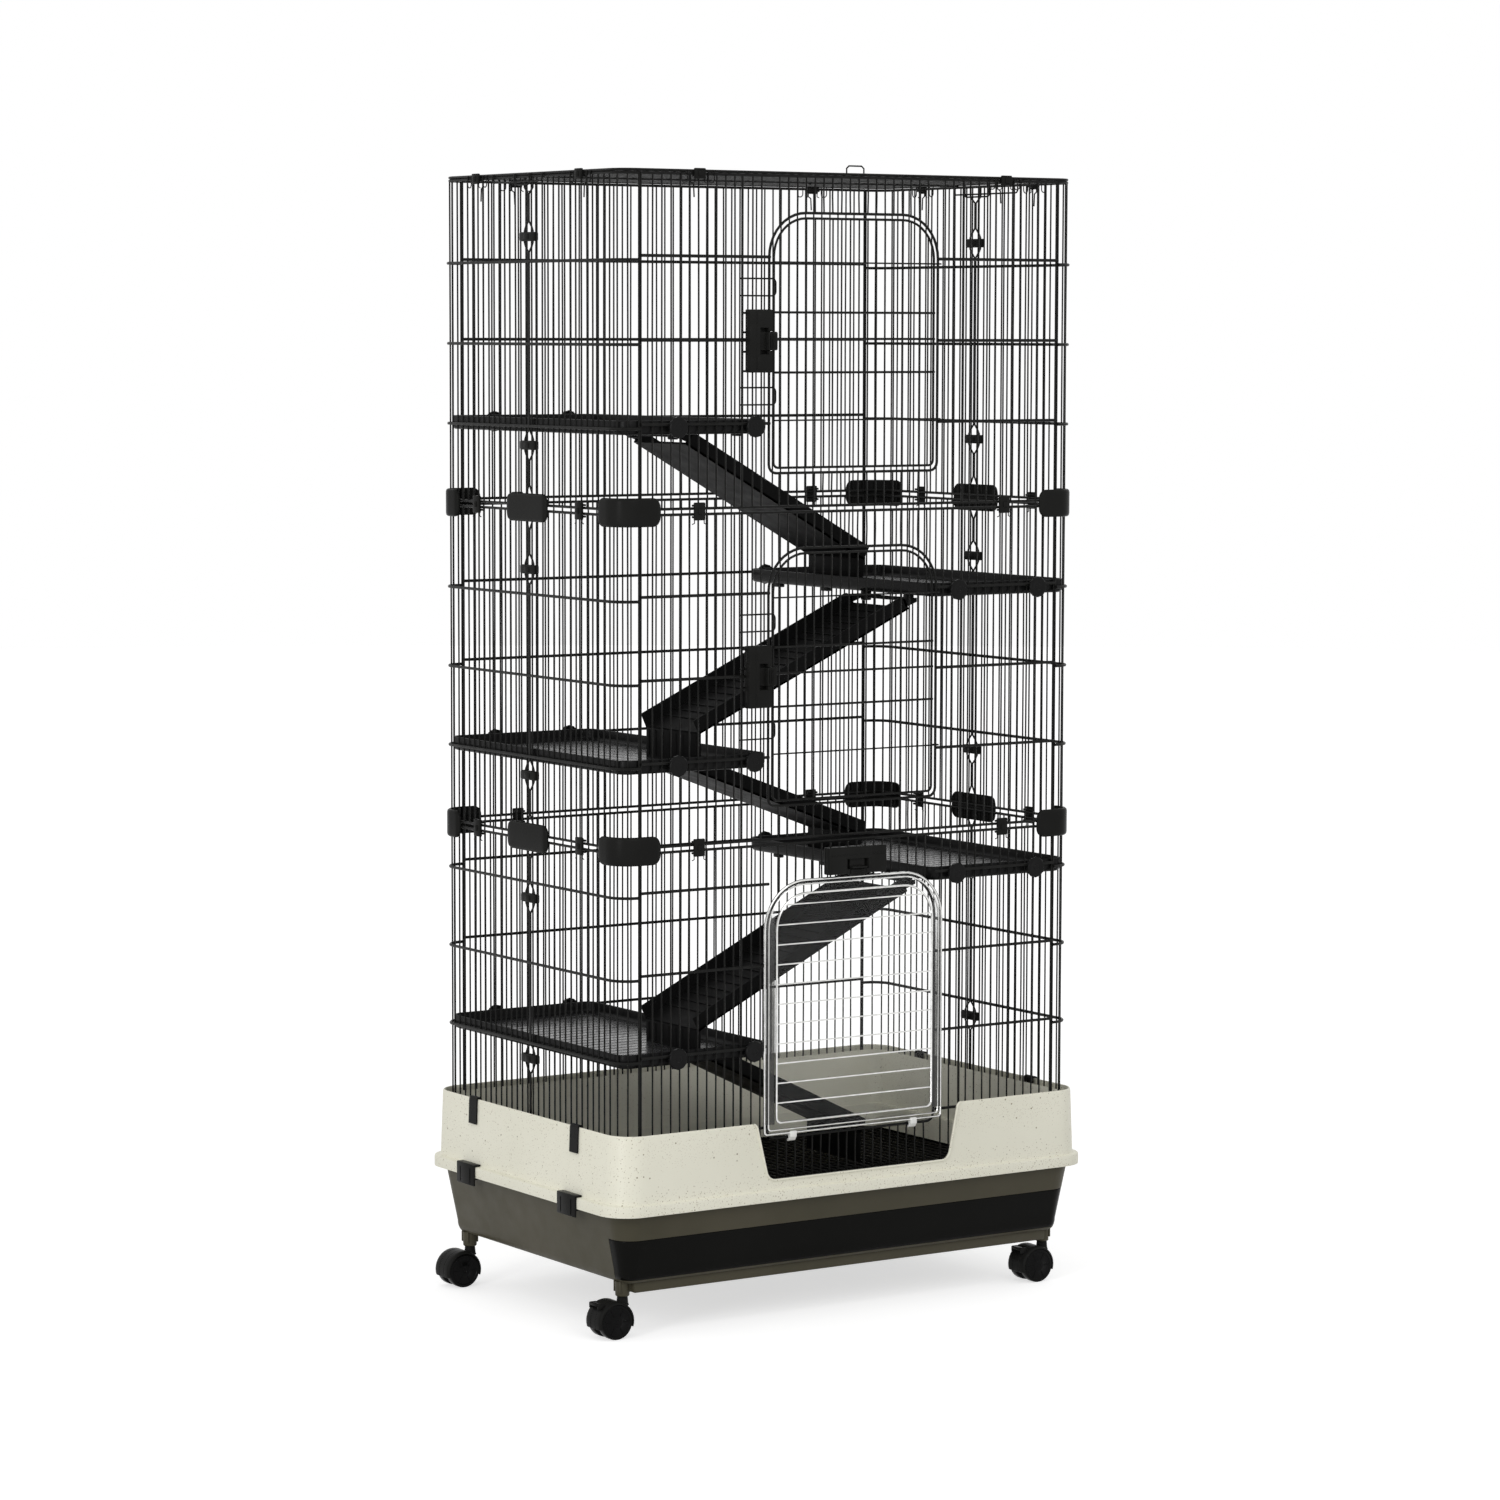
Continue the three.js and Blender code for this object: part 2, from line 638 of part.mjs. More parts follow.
/** Sweeps the connector's rounded section along a horizontal path just outside the rails. */
function connector(path, middle) {
  const count = path.length;
  const end = connectorHeight / 2;
  const rings = [];
  const profile = (point, side, stretch, half) => {
    const inner = railHalf + GAP;
    const outer = inner + connectorThickness;
    return [
      [inner, -half], [outer - 2, -half], [outer, -half + 3], [outer, half - 3], [outer - 2, half], [inner, half],
    ].map(([depth, z]) => point.clone().addScaledVector(side, depth * stretch).setZ(middle + z));
  };
  path.forEach((point, k) => {
    const before = k > 0 ? point.clone().sub(path[k - 1]).normalize() : null;
    const after = k < count - 1 ? path[k + 1].clone().sub(point).normalize() : null;
    const tangent = before && after ? before.clone().add(after).normalize() : (before ?? after).clone();
    const side = tangent.clone().cross(Z).normalize();
    const stretch = 1 / tangent.dot(after ?? before);
    const atEnd = k === 0 || k === count - 1;
    rings.push(profile(point, side, stretch, atEnd ? end * 0.55 : end));
  });
  return skin(rings);
}

/** A tongue on the connector's inner face that snaps into the space between the two rails. */
function connectorTongue(from, to, out, middle) {
  const half = seamPitch / 2 - railHalf - GAP;
  const ring = (point) => [
    [-railHalf, -half], [railHalf + GAP + BITE, -half], [railHalf + GAP + BITE, half], [-railHalf, half],
  ].map(([depth, z]) => point.clone().addScaledVector(out, depth).setZ(middle + z));
  return skin([ring(from), ring(to)]);
}

for (const [seam, tier] of [[1, middleTier], [2, lowTier]]) {
  const middle = tier.top + seamPitch / 2;
  const round = 12;
  for (const [sideName, side] of [['left', -1], ['right', 1]]) {
    // Walking anticlockwise seen from above keeps the outside of the cage on the path's right.
    const x = side * halfWidth;
    const midPath = [-connectorHalf, -connectorHalf + round, connectorHalf - round, connectorHalf]
      .map((y) => V(x, side * y, middle));
    const midTongue = connectorTongue(V(x, side * 20, middle), V(x, side * -20, middle), V(side, 0, 0), middle);
    place(`connector_${seam}_${sideName}_middle`, join(connector(midPath, middle), midTongue),
      finishes.blackPlastic());
    for (const [endName, end] of [['front', -1], ['back', 1]]) {
      const centre = V(side * (halfWidth - wallCorner), end * (halfDepth - wallCorner), middle);
      const along = [
        V(x, centre.y - end * connectorSideReach, middle),
        V(x, centre.y - end * (connectorSideReach - round), middle),
      ];
      const frontAngle = (side > 0 ? -1 : 3) * Math.PI / 2;
      const bend = arc(centre, wallCorner, side > 0 ? 0 : Math.PI, end > 0 ? Math.PI / 2 : frontAngle, 2);
      const across = [
        V(centre.x - side * (connectorFrontReach - round), end * halfDepth, middle),
        V(centre.x - side * connectorFrontReach, end * halfDepth, middle),
      ];
      const path = [...along, ...bend, ...across];
      if (side * end < 0) path.reverse();
      const tongue = connectorTongue(V(x, centre.y - end * 20, middle), V(x, centre.y - end * 3, middle),
        V(side, 0, 0), middle);
      place(`connector_${seam}_${endName}_${sideName}`, join(connector(path, middle), tongue),
        finishes.blackPlastic());
    }
  }
}

// ---------------------------------------------------------------------------------------------
// Doors
// ---------------------------------------------------------------------------------------------

/** Side-hung wire door: its two longest cross wires curl round the doorway's rim as hinge eyes. */
function wireDoor(tier) {
  const y = frontY - doorProud;
  const half = doorwayHalf - doorInset;
  const foot = tier.doorFoot + doorInset;
  const top = tier.doorTop - doorInset;
  const shoulder = doorwayCorner - doorInset;
  const toe = doorwayFoot - doorInset + 3;
  const pieces = [wire(archOutline(half, foot, top, y, shoulder, toe), Y, doorFrameHalf, 4, true)];
  for (const x of spread(half - 2, barPitch)) {
    pieces.push(bar(x, y, foot, archHeight(x, half, top, shoulder)));
  }
  const cross = y - doorCrossOut;
  const middle = tier.rungs[1];
  for (const z of [middle - 44, middle + 3, middle + 40]) {
    pieces.push(wire([V(-half, cross, z), V(half, cross, z)], Z, eyeWire));
  }
  for (const z of [tier.rungs[0] + lowEyeRise, tier.rungs[2] - highEyeDrop]) {
    pieces.push(wire([V(-half, cross, z), V(doorwayHalf - eyeRadius + 1.6, cross, z)], Z, eyeWire));
    pieces.push(wire(arc(V(doorwayHalf, frontY, z), eyeRadius, 0, 2 * Math.PI * 7 / 8, 7), Z, eyeWire, 4, true));
  }
  return join(pieces);
}

/** Drop door: a clear arched panel carrying a chromed frame of level wires, hinged along its foot. */
function dropDoor(tier) {
  const back = rungFace - GAP;
  const foot = tier.doorFoot + panelFootRise;
  const top = foot + panelHeight;
  const front = back - panelThickness;
  const outline = archOutline(panelHalf, foot, top, back, panelCorner, 4);
  const pieces = [plate(outline, V(0, -1, 0), panelThickness)];
  const half = panelHalf - panelFrameInset;
  const frameY = front - doorFrameHalf + BITE;
  const frameFoot = foot + panelFrameInset - 2;
  const frameTop = top - panelFrameInset;
  const shoulder = panelCorner - panelFrameInset;
  pieces.push(wire(archOutline(half, frameFoot, frameTop, frameY, shoulder, 8, 3), Y, doorFrameHalf, 4, true));
  const levels = Math.floor((frameTop - shoulder - frameFoot) / panelBarPitch);
  for (let k = 1; k <= levels; k++) {
    const z = frameFoot + k * panelBarPitch;
    pieces.push(wire([V(-half, frameY, z), V(half, frameY, z)], Y, eyeWire));
  }
  // Two sleeves on short legs turn on the doorway's lower wire.
  const bores = [];
  for (const x of [-panelHingeX, panelHingeX]) {
    const end = (reach) => V(x + reach, frontY, tier.doorFoot);
    pieces.push(rod(end(-panelHingeHalf), end(panelHingeHalf), panelHingeRadius, 12));
    pieces.push(block(x - panelHingeHalf, x + panelHingeHalf, front, back, tier.doorFoot - 1, foot + 2));
    bores.push(rod(end(-panelHingeHalf - 1), end(panelHingeHalf + 1), panelHingeBore, 12));
  }
  return cut(join(pieces), bores);
}

for (const tier of tiers.slice(1)) {
  place(`door_${tier.level}`, wireDoor(tier), finishes.blackWire());
  place(`latch_bolt_${tier.level}`, latchBolt(sideLatchCentre(tier), Z, X, sideLatchBed, sideBoltShift),
    finishes.blackPlastic());
}
place('drop_door', dropDoor(lowTier), finishes.clearPanel());
place('latch_bolt_1', latchBolt(lowLatchCentre(lowTier), X, Z, lowLatchBed, lowBoltShift), finishes.blackPlastic());

// ---------------------------------------------------------------------------------------------
// Roof
// ---------------------------------------------------------------------------------------------

function roofPanel() {
  const rim = roundedRing(halfWidth, halfDepth, wallCorner, V(0, 0, roofZ), 2);
  const hatchRim = roundedRing(hatchWidth / 2, hatchDepth / 2, hatchCorner, V(hatchX, hatchY, roofZ), 2);
  const pieces = [wire(rim, Z, railHalf, 4, true), wire(hatchRim, Z, railHalf, 4, true)];
  for (const x of spread(bendX, roofBarPitch)) {
    const from = -halfDepth;
    const crossing = Math.abs(x - hatchX) < hatchWidth / 2 - 1;
    const runs = crossing
      ? [[from, hatchY - hatchDepth / 2], [hatchY + hatchDepth / 2, halfDepth]]
      : [[from, halfDepth]];
    for (const [a, b] of runs) pieces.push(rod(V(x, a, roofZ), V(x, b, roofZ), barRadius, 3));
  }
  const strut = (y) => block(-halfWidth, halfWidth, y - railHalf / 2, y + railHalf / 2, roofZ - 1, roofZ + 1);
  pieces.push(strut(hatchY - hatchDepth / 2), strut(hatchY + hatchDepth / 2));
  return join(pieces);
}

function roofHatch() {
  const inset = railHalf + GAP + doorFrameHalf + 2;
  const halfW = hatchWidth / 2 - inset;
  const halfD = hatchDepth / 2 - inset;
  const frame = roundedRing(halfW, halfD, hatchCorner - inset, V(hatchX, hatchY, roofZ), 2);
  const pieces = [wire(frame, Z, doorFrameHalf, 4, true)];
  for (const shift of spread(halfW - 2, roofBarPitch)) {
    const x = hatchX + shift;
    pieces.push(rod(V(x, hatchY - halfD, roofZ), V(x, hatchY + halfD, roofZ), barRadius, 3));
  }
  // Two eyes round the roof's rear strut are the hinge; the raised loop in front is the spring handle.
  const eyeY = hatchY + hatchDepth / 2;
  for (const side of [-1, 1]) {
    const x = hatchX + side * hatchEyeX;
    const eye = arc(V(x, eyeY, roofZ), eyeRadius, -Math.PI / 2, -Math.PI / 2 + 2 * Math.PI * 7 / 8, 7, Z, Y);
    pieces.push(wire(eye, X, eyeWire, 4, true));
    pieces.push(block(x - eyeWire, x + eyeWire, hatchY + halfD - 1, eyeY - eyeRadius + 1, roofZ - 1, roofZ + 1));
  }
  const loopY = hatchY - halfD;
  const rise = 16;
  pieces.push(wire([[-17, 0], [-17, rise - 4], [-13, rise], [13, rise], [17, rise - 4], [17, 0]]
    .map(([x, z]) => V(hatchX + x, loopY, roofZ + z)), Y, eyeWire, 4));
  return join(pieces);
}

place('roof_panel', roofPanel(), finishes.blackWire());
place('roof_hatch', roofHatch(), finishes.blackWire());

// ---------------------------------------------------------------------------------------------
// Base: tub, drawer, wire floor and skirt
// ---------------------------------------------------------------------------------------------

const tubLevels = (inset, bottom = tubBottom, top = tubTop) => {
  const taperAt = (z) => tubTaper * (tubTop - z) / (tubTop - tubBottom - tubRoundHeight);
  const shoulder = tubBottom + tubRoundHeight;
  return [
    [bottom, inset + tubTaper + tubRoundInset],
    [(bottom + shoulder) / 2 - 3, inset + tubTaper + tubRoundInset * 0.35],
    [shoulder, inset + tubTaper],
    [top, inset + taperAt(top)],
  ];
};
const tubOuter = (inset = 0, bottom, top) => tubSolid(tubWidth / 2, tubDepth / 2, tubCorner, tubLevels(inset, bottom, top));
const tubShell = (inset, z) => tubWidth / 2 - inset - tubTaper * (tubTop - z) / (tubTop - tubBottom - tubRoundHeight);
const bossCentres = [
  ['front_left', V(-casterX, -casterY, 0)], ['front_right', V(casterX, -casterY, 0)],
  ['back_left', V(-casterX, casterY, 0)], ['back_right', V(casterX, casterY, 0)],
];
const drawerBackLine = -tubDepth / 2 + drawerFrontDepth;
const tubRimHalfX = flangeWidth / 2 - skirtWall - 1.5;
const tubRimHalfY = flangeDepth / 2 - skirtWall - 1.5;
const drawerZone = (gap) => block(-tubWidth, tubWidth, -tubDepth, drawerBackLine + gap, drawerFoot - gap, drawerTop + gap);

function baseTub() {
  const shell = cut(tubOuter(), tubOuter(tubWall, tubBottom + tubWall, tubTop + 1));
  const ledgeInset = (z, extra) => tubWidth / 2 - tubShell(extra, z);
  const ledge = cut(
    tubSolid(tubWidth / 2, tubDepth / 2, tubCorner, [
      [gridLedgeTop - 4, ledgeInset(gridLedgeTop - 4, 1)], [gridLedgeTop, ledgeInset(gridLedgeTop, 1)],
    ]),
    tubSolid(tubWidth / 2, tubDepth / 2, tubCorner, [
      [gridLedgeTop - 5, ledgeInset(gridLedgeTop, gridLedgeReach)],
      [gridLedgeTop + 1, ledgeInset(gridLedgeTop, gridLedgeReach)],
    ]),
  );
  const apronHalf = tubWidth / 2 - tubTaper - tubRoundInset - 12;
  const apronFront = -(tubDepth / 2 - tubTaper - tubRoundInset) + 1;
  const apron = block(-apronHalf, apronHalf, apronFront, apronFront + apronDepth, tubBottom - apronDrop, tubBottom + 1);
  const bosses = bossCentres.map(([, centre]) => (
    rod(V(centre.x, centre.y, bossFoot), V(centre.x, centre.y, tubBottom + tubWall - 1), bossRadius, 8)
  ));
  const stemBores = bossCentres.map(([, centre]) => (
    rod(V(centre.x, centre.y, bossFoot - 1), V(centre.x, centre.y, tubBottom), stemRadius + GAP, stemSides)
  ));
  const rim = cut(
    tubSolid(tubRimHalfX, tubRimHalfY, flangeCorner, [[tubTop - tubRimDepth, 0], [tubTop, 0]]),
    tubOuter(tubWall / 2, tubBottom, tubTop + 1),
  );
  const runners = [-runnerX, runnerX].map((x) => (
    block(x - 5, x + 5, drawerBackLine + 10, -drawerBackLine, tubBottom + 1, drawerFoot - GAP)
  ));
  return cut(join(shell, rim, ledge, apron, bosses, runners), [drawerZone(GAP), ...stemBores]);
}

function drawer() {
  const front = cut(
    tubOuter().intersect(drawerZone(0)),
    tubOuter(tubWall, tubBottom + tubWall).intersect(
      block(-tubWidth, tubWidth, -tubDepth, drawerBackLine + 1, drawerFoot + tubWall, drawerTop - tubWall),
    ),
  );
  const panFoot = drawerFoot;
  const panFront = drawerBackLine - 15;
  const panBack = tubDepth / 2 - tubTaper - panBackInset;
  const outside = block(-panHalfWidth, panHalfWidth, panFront, panBack, panFoot, panFoot + panHeight);
  const inside = block(-panHalfWidth + panWall, panHalfWidth - panWall, panFront + panWall, panBack - panWall,
    panFoot + panWall, panFoot + panHeight + 1);
  const grip = block(-gripWidth / 2, gripWidth / 2, -tubDepth, -tubDepth / 2 + gripDepth,
    drawerTop - gripHeight, drawerTop + 1);
  return cut(join(front, outside), inside, grip);
}

function wireFloor() {
  const halfX = tubShell(tubWall + 1.5, gridLedgeTop) - gridFrame;
  const halfY = halfX - (tubWidth - tubDepth) / 2;
  const z = gridLedgeTop + GAP + gridFrame;
  const pieces = [wire(roundedRing(halfX, halfY, 30, V(0, 0, z), 2), Z, gridFrame, 4, true)];
  const lower = z - 1.5;
  const upper = z + 1.5;
  for (const x of spread(halfX - 25, gridPitch)) {
    pieces.push(rod(V(x, -halfY, upper), V(x, halfY, upper), gridWire, 3));
  }
  for (const y of spread(halfY - 25, gridPitch)) {
    pieces.push(rod(V(-halfX, y, lower), V(halfX, y, lower), gridWire, 3));
  }
  return join(pieces);
}
const floorTop = gridLedgeTop + GAP + 2 * gridFrame;

function skirt() {
  const halfX = skirtWidth / 2;
  const halfY = skirtDepth / 2;
  const ring = (levels) => tubSolid(halfX, halfY, skirtCorner, levels);
  const flangeRing = (inset, bottom, top) => (
    tubSolid(flangeWidth / 2, flangeDepth / 2, flangeCorner, [[bottom, inset], [top, inset]])
  );
  const flange = flangeRing(0, flangeBottom, flangeTop);
  const wall = ring([[flangeTop - 2, -skirtFlare], [skirtTop, 0]]);
  const inside = ring([[ledgeTop, skirtWall - skirtFlare * 0.9], [skirtTop + 1, skirtWall]]);
  const below = ring([[flangeTop - 4, 0], [ledgeTop - ledgeThickness, 0]]);
  const underFlange = flangeRing(skirtWall, flangeBottom - 1, flangeTop - skirtWall);
  const through = ring([[flangeBottom - 1, ledgeReach], [skirtTop + 1, ledgeReach]]);
  // The front doorway is cut with sloping sides and rounded lower corners.
  const front = -halfY - 20;
  const top = skirtTop + 5;
  const slope = Math.atan((cutoutTopHalf - cutoutFootHalf) / (top - cutoutFoot));
  const toe = (side, from, to) => arc(
    V(side * (cutoutFootHalf - cutoutCorner + 6), front, cutoutFoot + cutoutCorner), cutoutCorner, from, to, 3, X, Z,
  );
  const outline = [
    V(cutoutTopHalf, front, top), V(-cutoutTopHalf, front, top),
    ...toe(-1, Math.PI + slope, 1.5 * Math.PI), ...toe(1, 1.5 * Math.PI, 2 * Math.PI - slope),
  ];
  const doorway = plate(outline, Y, 38);
  return cut(join(flange, wall), inside, below, underFlange, through, doorway);
}

place('base_tub', baseTub(), finishes.taupePlastic());
place('drawer', drawer(), finishes.glossBlack());
place('wire_floor', wireFloor(), finishes.blackWire());
place('skirt', skirt(), finishes.palePlastic());

/** C-shaped clip pushed on from outside, holding the skirt's flange down on the tub. */
function flangeClip(side, y) {
  const outer = flangeWidth / 2 + GAP;
  const half = flangeClipHalf;
  const thick = 3;
  const tab = 12;
  const span = (a, b) => [Math.min(side * a, side * b), Math.max(side * a, side * b)];
  return join(
    block(...span(outer, outer + thick), y - half, y + half, flangeBottom - tab, flangeTop + GAP + thick),
    block(...span(outer - 9, outer + thick), y - half, y + half, flangeTop + GAP, flangeTop + GAP + thick),
    block(...span(outer - 14, outer + thick), y - half, y + half, flangeBottom - GAP - thick, flangeBottom - GAP),
  );
}
for (const [sideName, side] of [['left', -1], ['right', 1]]) {
  for (const [endName, end] of [['front', -1], ['back', 1]]) {
    place(`flange_clip_${endName}_${sideName}`, flangeClip(side, end * clipAlongSide), finishes.blackPlastic());
  }
}

// ---------------------------------------------------------------------------------------------
// Shelves and ramps
// ---------------------------------------------------------------------------------------------

/** Each shelf is clamped just under a front and a back rung. */
const shaftDrop = rungRadius + GAP + shelfShaft - frontRungRise;
function shelfRungs() {
  return [
    [1, -1, lowTier.rungs[1]], [2, 1, lowTier.rungs[3]],
    [3, -1, middleTier.rungs[0]], [4, 1, middleTier.rungs[2]], [5, -1, topTier.rungs[0]],
  ];
}
const shelfOuter = halfWidth - barRadius - GAP - 3;
const shelves = shelfRungs().map(([level, side, rung]) => {
  const knobZ = rung - shaftDrop;
  return {
    level,
    side,
    knobZ,
    floor: knobZ - shelfHeight / 2,
    top: knobZ + shelfHeight / 2,
    edge: side * (shelfOuter - shelfReach),
    rampY: side < 0 ? rampFront.left : rampFront.right,
  };
});
const rampPin = (shelf) => V(shelf.edge + shelf.side * rampPinInset, 0, shelf.floor - rampPinDrop);

function shelfSolid(shelf) {
  const { side, floor, top, knobZ } = shelf;
  const front = halfDepth - postHalf - GAP - 0.5;
  const middleX = side * (shelfOuter - shelfReach / 2);
  const ring = (z, inset) => (
    roundedRing(shelfReach / 2 - inset, front - inset, shelfCorner - inset, V(middleX, 0, z), 2)
  );
  const tray = cut(
    skin([ring(floor, 4), ring(floor + 5, 0), ring(top, 0)]),
    skin([ring(floor + shelfFloor, shelfWall + 4), ring(floor + 8, shelfWall), ring(top + 1, shelfWall)]),
  );
  const pieces = [tray];
  const clamp = halfDepth + rungOut + rungRadius + GAP;
  for (const inset of side < 0 ? leftKnobInsets : rightKnobInsets) {
    const x = side * (halfWidth - inset);
    for (const end of [-1, 1]) {
      const at = (y) => V(x, end * y, knobZ);
      pieces.push(rod(at(front - 1), at(clamp + 1), shelfShaft, 4));
      pieces.push(rod(at(clamp), at(clamp + shelfKnobThickness), shelfKnobRadius, 8, shelfKnobRadius - 2));
    }
  }
  // Two bored lugs carry the ramp's pin, and two shorter ones are spare.
  const pin = rampPin(shelf);
  const bores = [];
  for (const y of [shelf.rampY + rampLugInset, shelf.rampY + rampWidth - rampLugInset]) {
    pieces.push(block(pin.x - 7, pin.x + 7, y - rampLugHalf, y + rampLugHalf, pin.z - 6.5, floor + 2));
    bores.push(rod(pin.clone().setY(y - rampLugHalf - 1), pin.clone().setY(y + rampLugHalf + 1), rampPinRadius + 0.6, 8));
  }
  for (const y of shelfLugs) {
    pieces.push(block(pin.x - 4, pin.x + 4, side * y - 9, side * y + 9, floor - 5, floor + 2));
  }
  return cut(join(pieces), bores);
}
for (const shelf of shelves) place(`shelf_${shelf.level}`, shelfSolid(shelf), finishes.blackPlastic());

/** A channel-shaped ramp that hangs by a pin under a shelf's edge and stands on a leg at its foot. */
function rampSolid(shelf) {
  const down = -shelf.side;
  const below = shelves.find((other) => other.level === shelf.level - 1);
  const landing = below ? below.floor + shelfFloor : floorTop;
  const start = V(shelf.edge + down * rampEdgeGap, 0, shelf.floor - rampDrop);
  const reach = 2 * Math.abs(shelf.edge) + (shelf.side < 0 ? rampLanding.left : rampLanding.right);
  const end = V(shelf.edge + down * reach, 0, landing + rampFoot[shelf.level] - rampWall);
  const along = end.clone().sub(start);
  const length = along.length();
  along.normalize();
  const up = V(-along.z * down, 0, along.x * down);
  const y0 = shelf.rampY;
  const y1 = y0 + rampWidth;
  const at = (distance, height, y) => V(start.x, y, start.z)
    .addScaledVector(along, distance).addScaledVector(up, height);
  const slab = (d0, d1, h0, h1, ya, yb) => skin([ya, yb].map((y) => [
    at(d0, h0, y), at(d1, h0, y), at(d1, h1, y), at(d0, h1, y),
  ]));
  const cheek = (ya, yb) => skin([ya, yb].map((y) => [
    at(0, 0, y), at(length, 0, y), at(length, rampWall, y), at(6, rampWall, y), at(0, rampWall - 6, y),
  ]));
  const pin = rampPin(shelf);
  const arm = (ya, yb) => skin([ya, yb].map((y) => [
    V(pin.x - down * 3, y, pin.z - 3), at(4, 5, y), at(4, rampWall - 3, y), V(pin.x - down * 3, y, pin.z + 3),
  ]));
  const pieces = [
    slab(0, length, 0, rampSkin, y0, y1),
    cheek(y0, y0 + rampSkin), cheek(y1 - rampSkin, y1),
    arm(y0, y0 + rampSkin), arm(y1 - rampSkin, y1),
    rod(pin.clone().setY(y0 + 1), pin.clone().setY(y1 - 1), rampPinRadius, 8),
  ];
  const footX = end.x - down * rampSkin;
  pieces.push(block(Math.min(footX, end.x), Math.max(footX, end.x), y0, y1, landing + GAP, end.z + 4));
  const ribs = Math.floor((length - 40) / rampRibPitch);
  for (let k = 1; k <= ribs; k++) {
    const d = 20 + k * rampRibPitch;
    pieces.push(slab(d - 2, d + 2, rampSkin - 1, rampSkin + rampRibHeight, y0 + rampSkin - 1, y1 - rampSkin + 1));
  }
  return join(pieces);
}
for (const shelf of shelves) place(`ramp_${shelf.level}`, rampSolid(shelf), finishes.blackPlastic());

// ---------------------------------------------------------------------------------------------
// Casters
// ---------------------------------------------------------------------------------------------

const stemTop = tubBottom - GAP;
const axleOf = (centre) => V(centre.x - casterTrail, centre.y, wheelRadius);
const leverPin = (centre) => axleOf(centre).add(V(-leverReach, 0, leverRise));

/** Hood and stem of a caster: a shell over two wheels with a web between them, open below. */
function casterHood(centre, braked) {
  const axle = axleOf(centre);
  const half = wheelHalfTrack + wheelWidth / 2;
  const across = (reach) => axle.clone().addScaledVector(Y, reach);
  const drum = rod(across(-half), across(half), hoodRadius, 16);
  const wheelRoom = [-1, 1].map((side) => rod(
    across(side * (wheelHalfTrack - wheelWidth / 2 - 0.6)), across(side * (half + 1)), wheelRadius + 1.2, 16,
  ));
  const openBelow = block(axle.x - 60, axle.x + 60, axle.y - 60, axle.y + 60, -20, wheelRadius - 9);
  const axleBore = rod(across(-half - 1), across(half + 1), 3.3, 8);
  const neck = rod(V(centre.x, centre.y, wheelRadius + 14), V(centre.x, centre.y, bossFoot - GAP), 8, 10);
  const shell = cut(join(drum, neck), [...wheelRoom, openBelow, axleBore]);
  const stem = rod(V(centre.x, centre.y, bossFoot - 1), V(centre.x, centre.y, stemTop), stemRadius, stemSides);
  if (!braked) return join(shell, stem);
  const pin = leverPin(centre);
  const ears = [-1, 1].map((side) => {
    const y = [side * 9.5, side * 13].map((reach) => centre.y + reach).sort((a, b) => a - b);
    return block(pin.x - 4.5, pin.x + 12, ...y, pin.z - 7, pin.z + 4);
  });
  const pinBore = rod(pin.clone().setY(centre.y - 14), pin.clone().setY(centre.y + 14), 2.9, 8);
  const clearWheels = rod(across(-half), across(half), wheelRadius + 1.2, 16);
  return join(shell, stem, cut(join(ears), [pinBore, clearWheels]));
}

/** Both wheels of a caster on their common axle. */
function casterWheels(centre) {
  const axle = axleOf(centre);
  const wheels = [-1, 1].map((side) => rod(
    axle.clone().addScaledVector(Y, side * (wheelHalfTrack - wheelWidth / 2)),
    axle.clone().addScaledVector(Y, side * (wheelHalfTrack + wheelWidth / 2)), wheelRadius, 20, wheelRadius - 1,
  ));
  const pin = rod(axle.clone().addScaledVector(Y, -wheelHalfTrack), axle.clone().addScaledVector(Y, wheelHalfTrack), 2.9, 8);
  return join(...wheels, pin);
}

/** Brake lever: a tab to step on, turning on a pin between two ears of the hood. */
function brakeLever(centre) {
  const pin = leverPin(centre);
  return join(
    rod(pin.clone().setY(centre.y - 12.5), pin.clone().setY(centre.y + 12.5), 2.5, 8),
    block(pin.x - 4, pin.x + 4, centre.y - 9, centre.y + 9, pin.z - 1.5, pin.z + 2.6),
  );
}

for (const [name, centre] of bossCentres) {
  const braked = brakedCasters.includes(name);
  place(`caster_${name}`, casterHood(centre, braked), finishes.blackPlastic());
  place(`wheels_${name}`, casterWheels(centre), finishes.wheelPlastic());
  if (braked) place(`brake_lever_${name}`, brakeLever(centre), finishes.blackPlastic());
}

export default cage;
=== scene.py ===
import math
import random

import bpy
from mathutils import Matrix, Vector


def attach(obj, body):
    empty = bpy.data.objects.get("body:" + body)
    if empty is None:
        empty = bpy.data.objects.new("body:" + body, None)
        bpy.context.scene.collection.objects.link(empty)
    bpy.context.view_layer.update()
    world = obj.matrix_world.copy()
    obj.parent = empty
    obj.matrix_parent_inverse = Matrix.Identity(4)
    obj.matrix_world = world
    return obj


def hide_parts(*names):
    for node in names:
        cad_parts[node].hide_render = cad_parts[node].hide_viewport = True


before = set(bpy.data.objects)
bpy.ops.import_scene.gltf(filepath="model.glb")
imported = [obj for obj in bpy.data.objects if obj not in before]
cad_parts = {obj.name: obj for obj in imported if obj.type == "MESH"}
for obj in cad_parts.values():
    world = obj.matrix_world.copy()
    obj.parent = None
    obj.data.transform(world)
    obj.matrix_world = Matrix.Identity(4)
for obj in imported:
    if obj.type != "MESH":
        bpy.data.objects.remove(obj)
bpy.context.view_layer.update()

MM = 0.001
X, Y, Z = Vector((1, 0, 0)), Vector((0, 1, 0)), Vector((0, 0, 1))

# --------------------------------------------------
# Sizes, in millimetres: places as in the solid model, wire radii as they look
# --------------------------------------------------

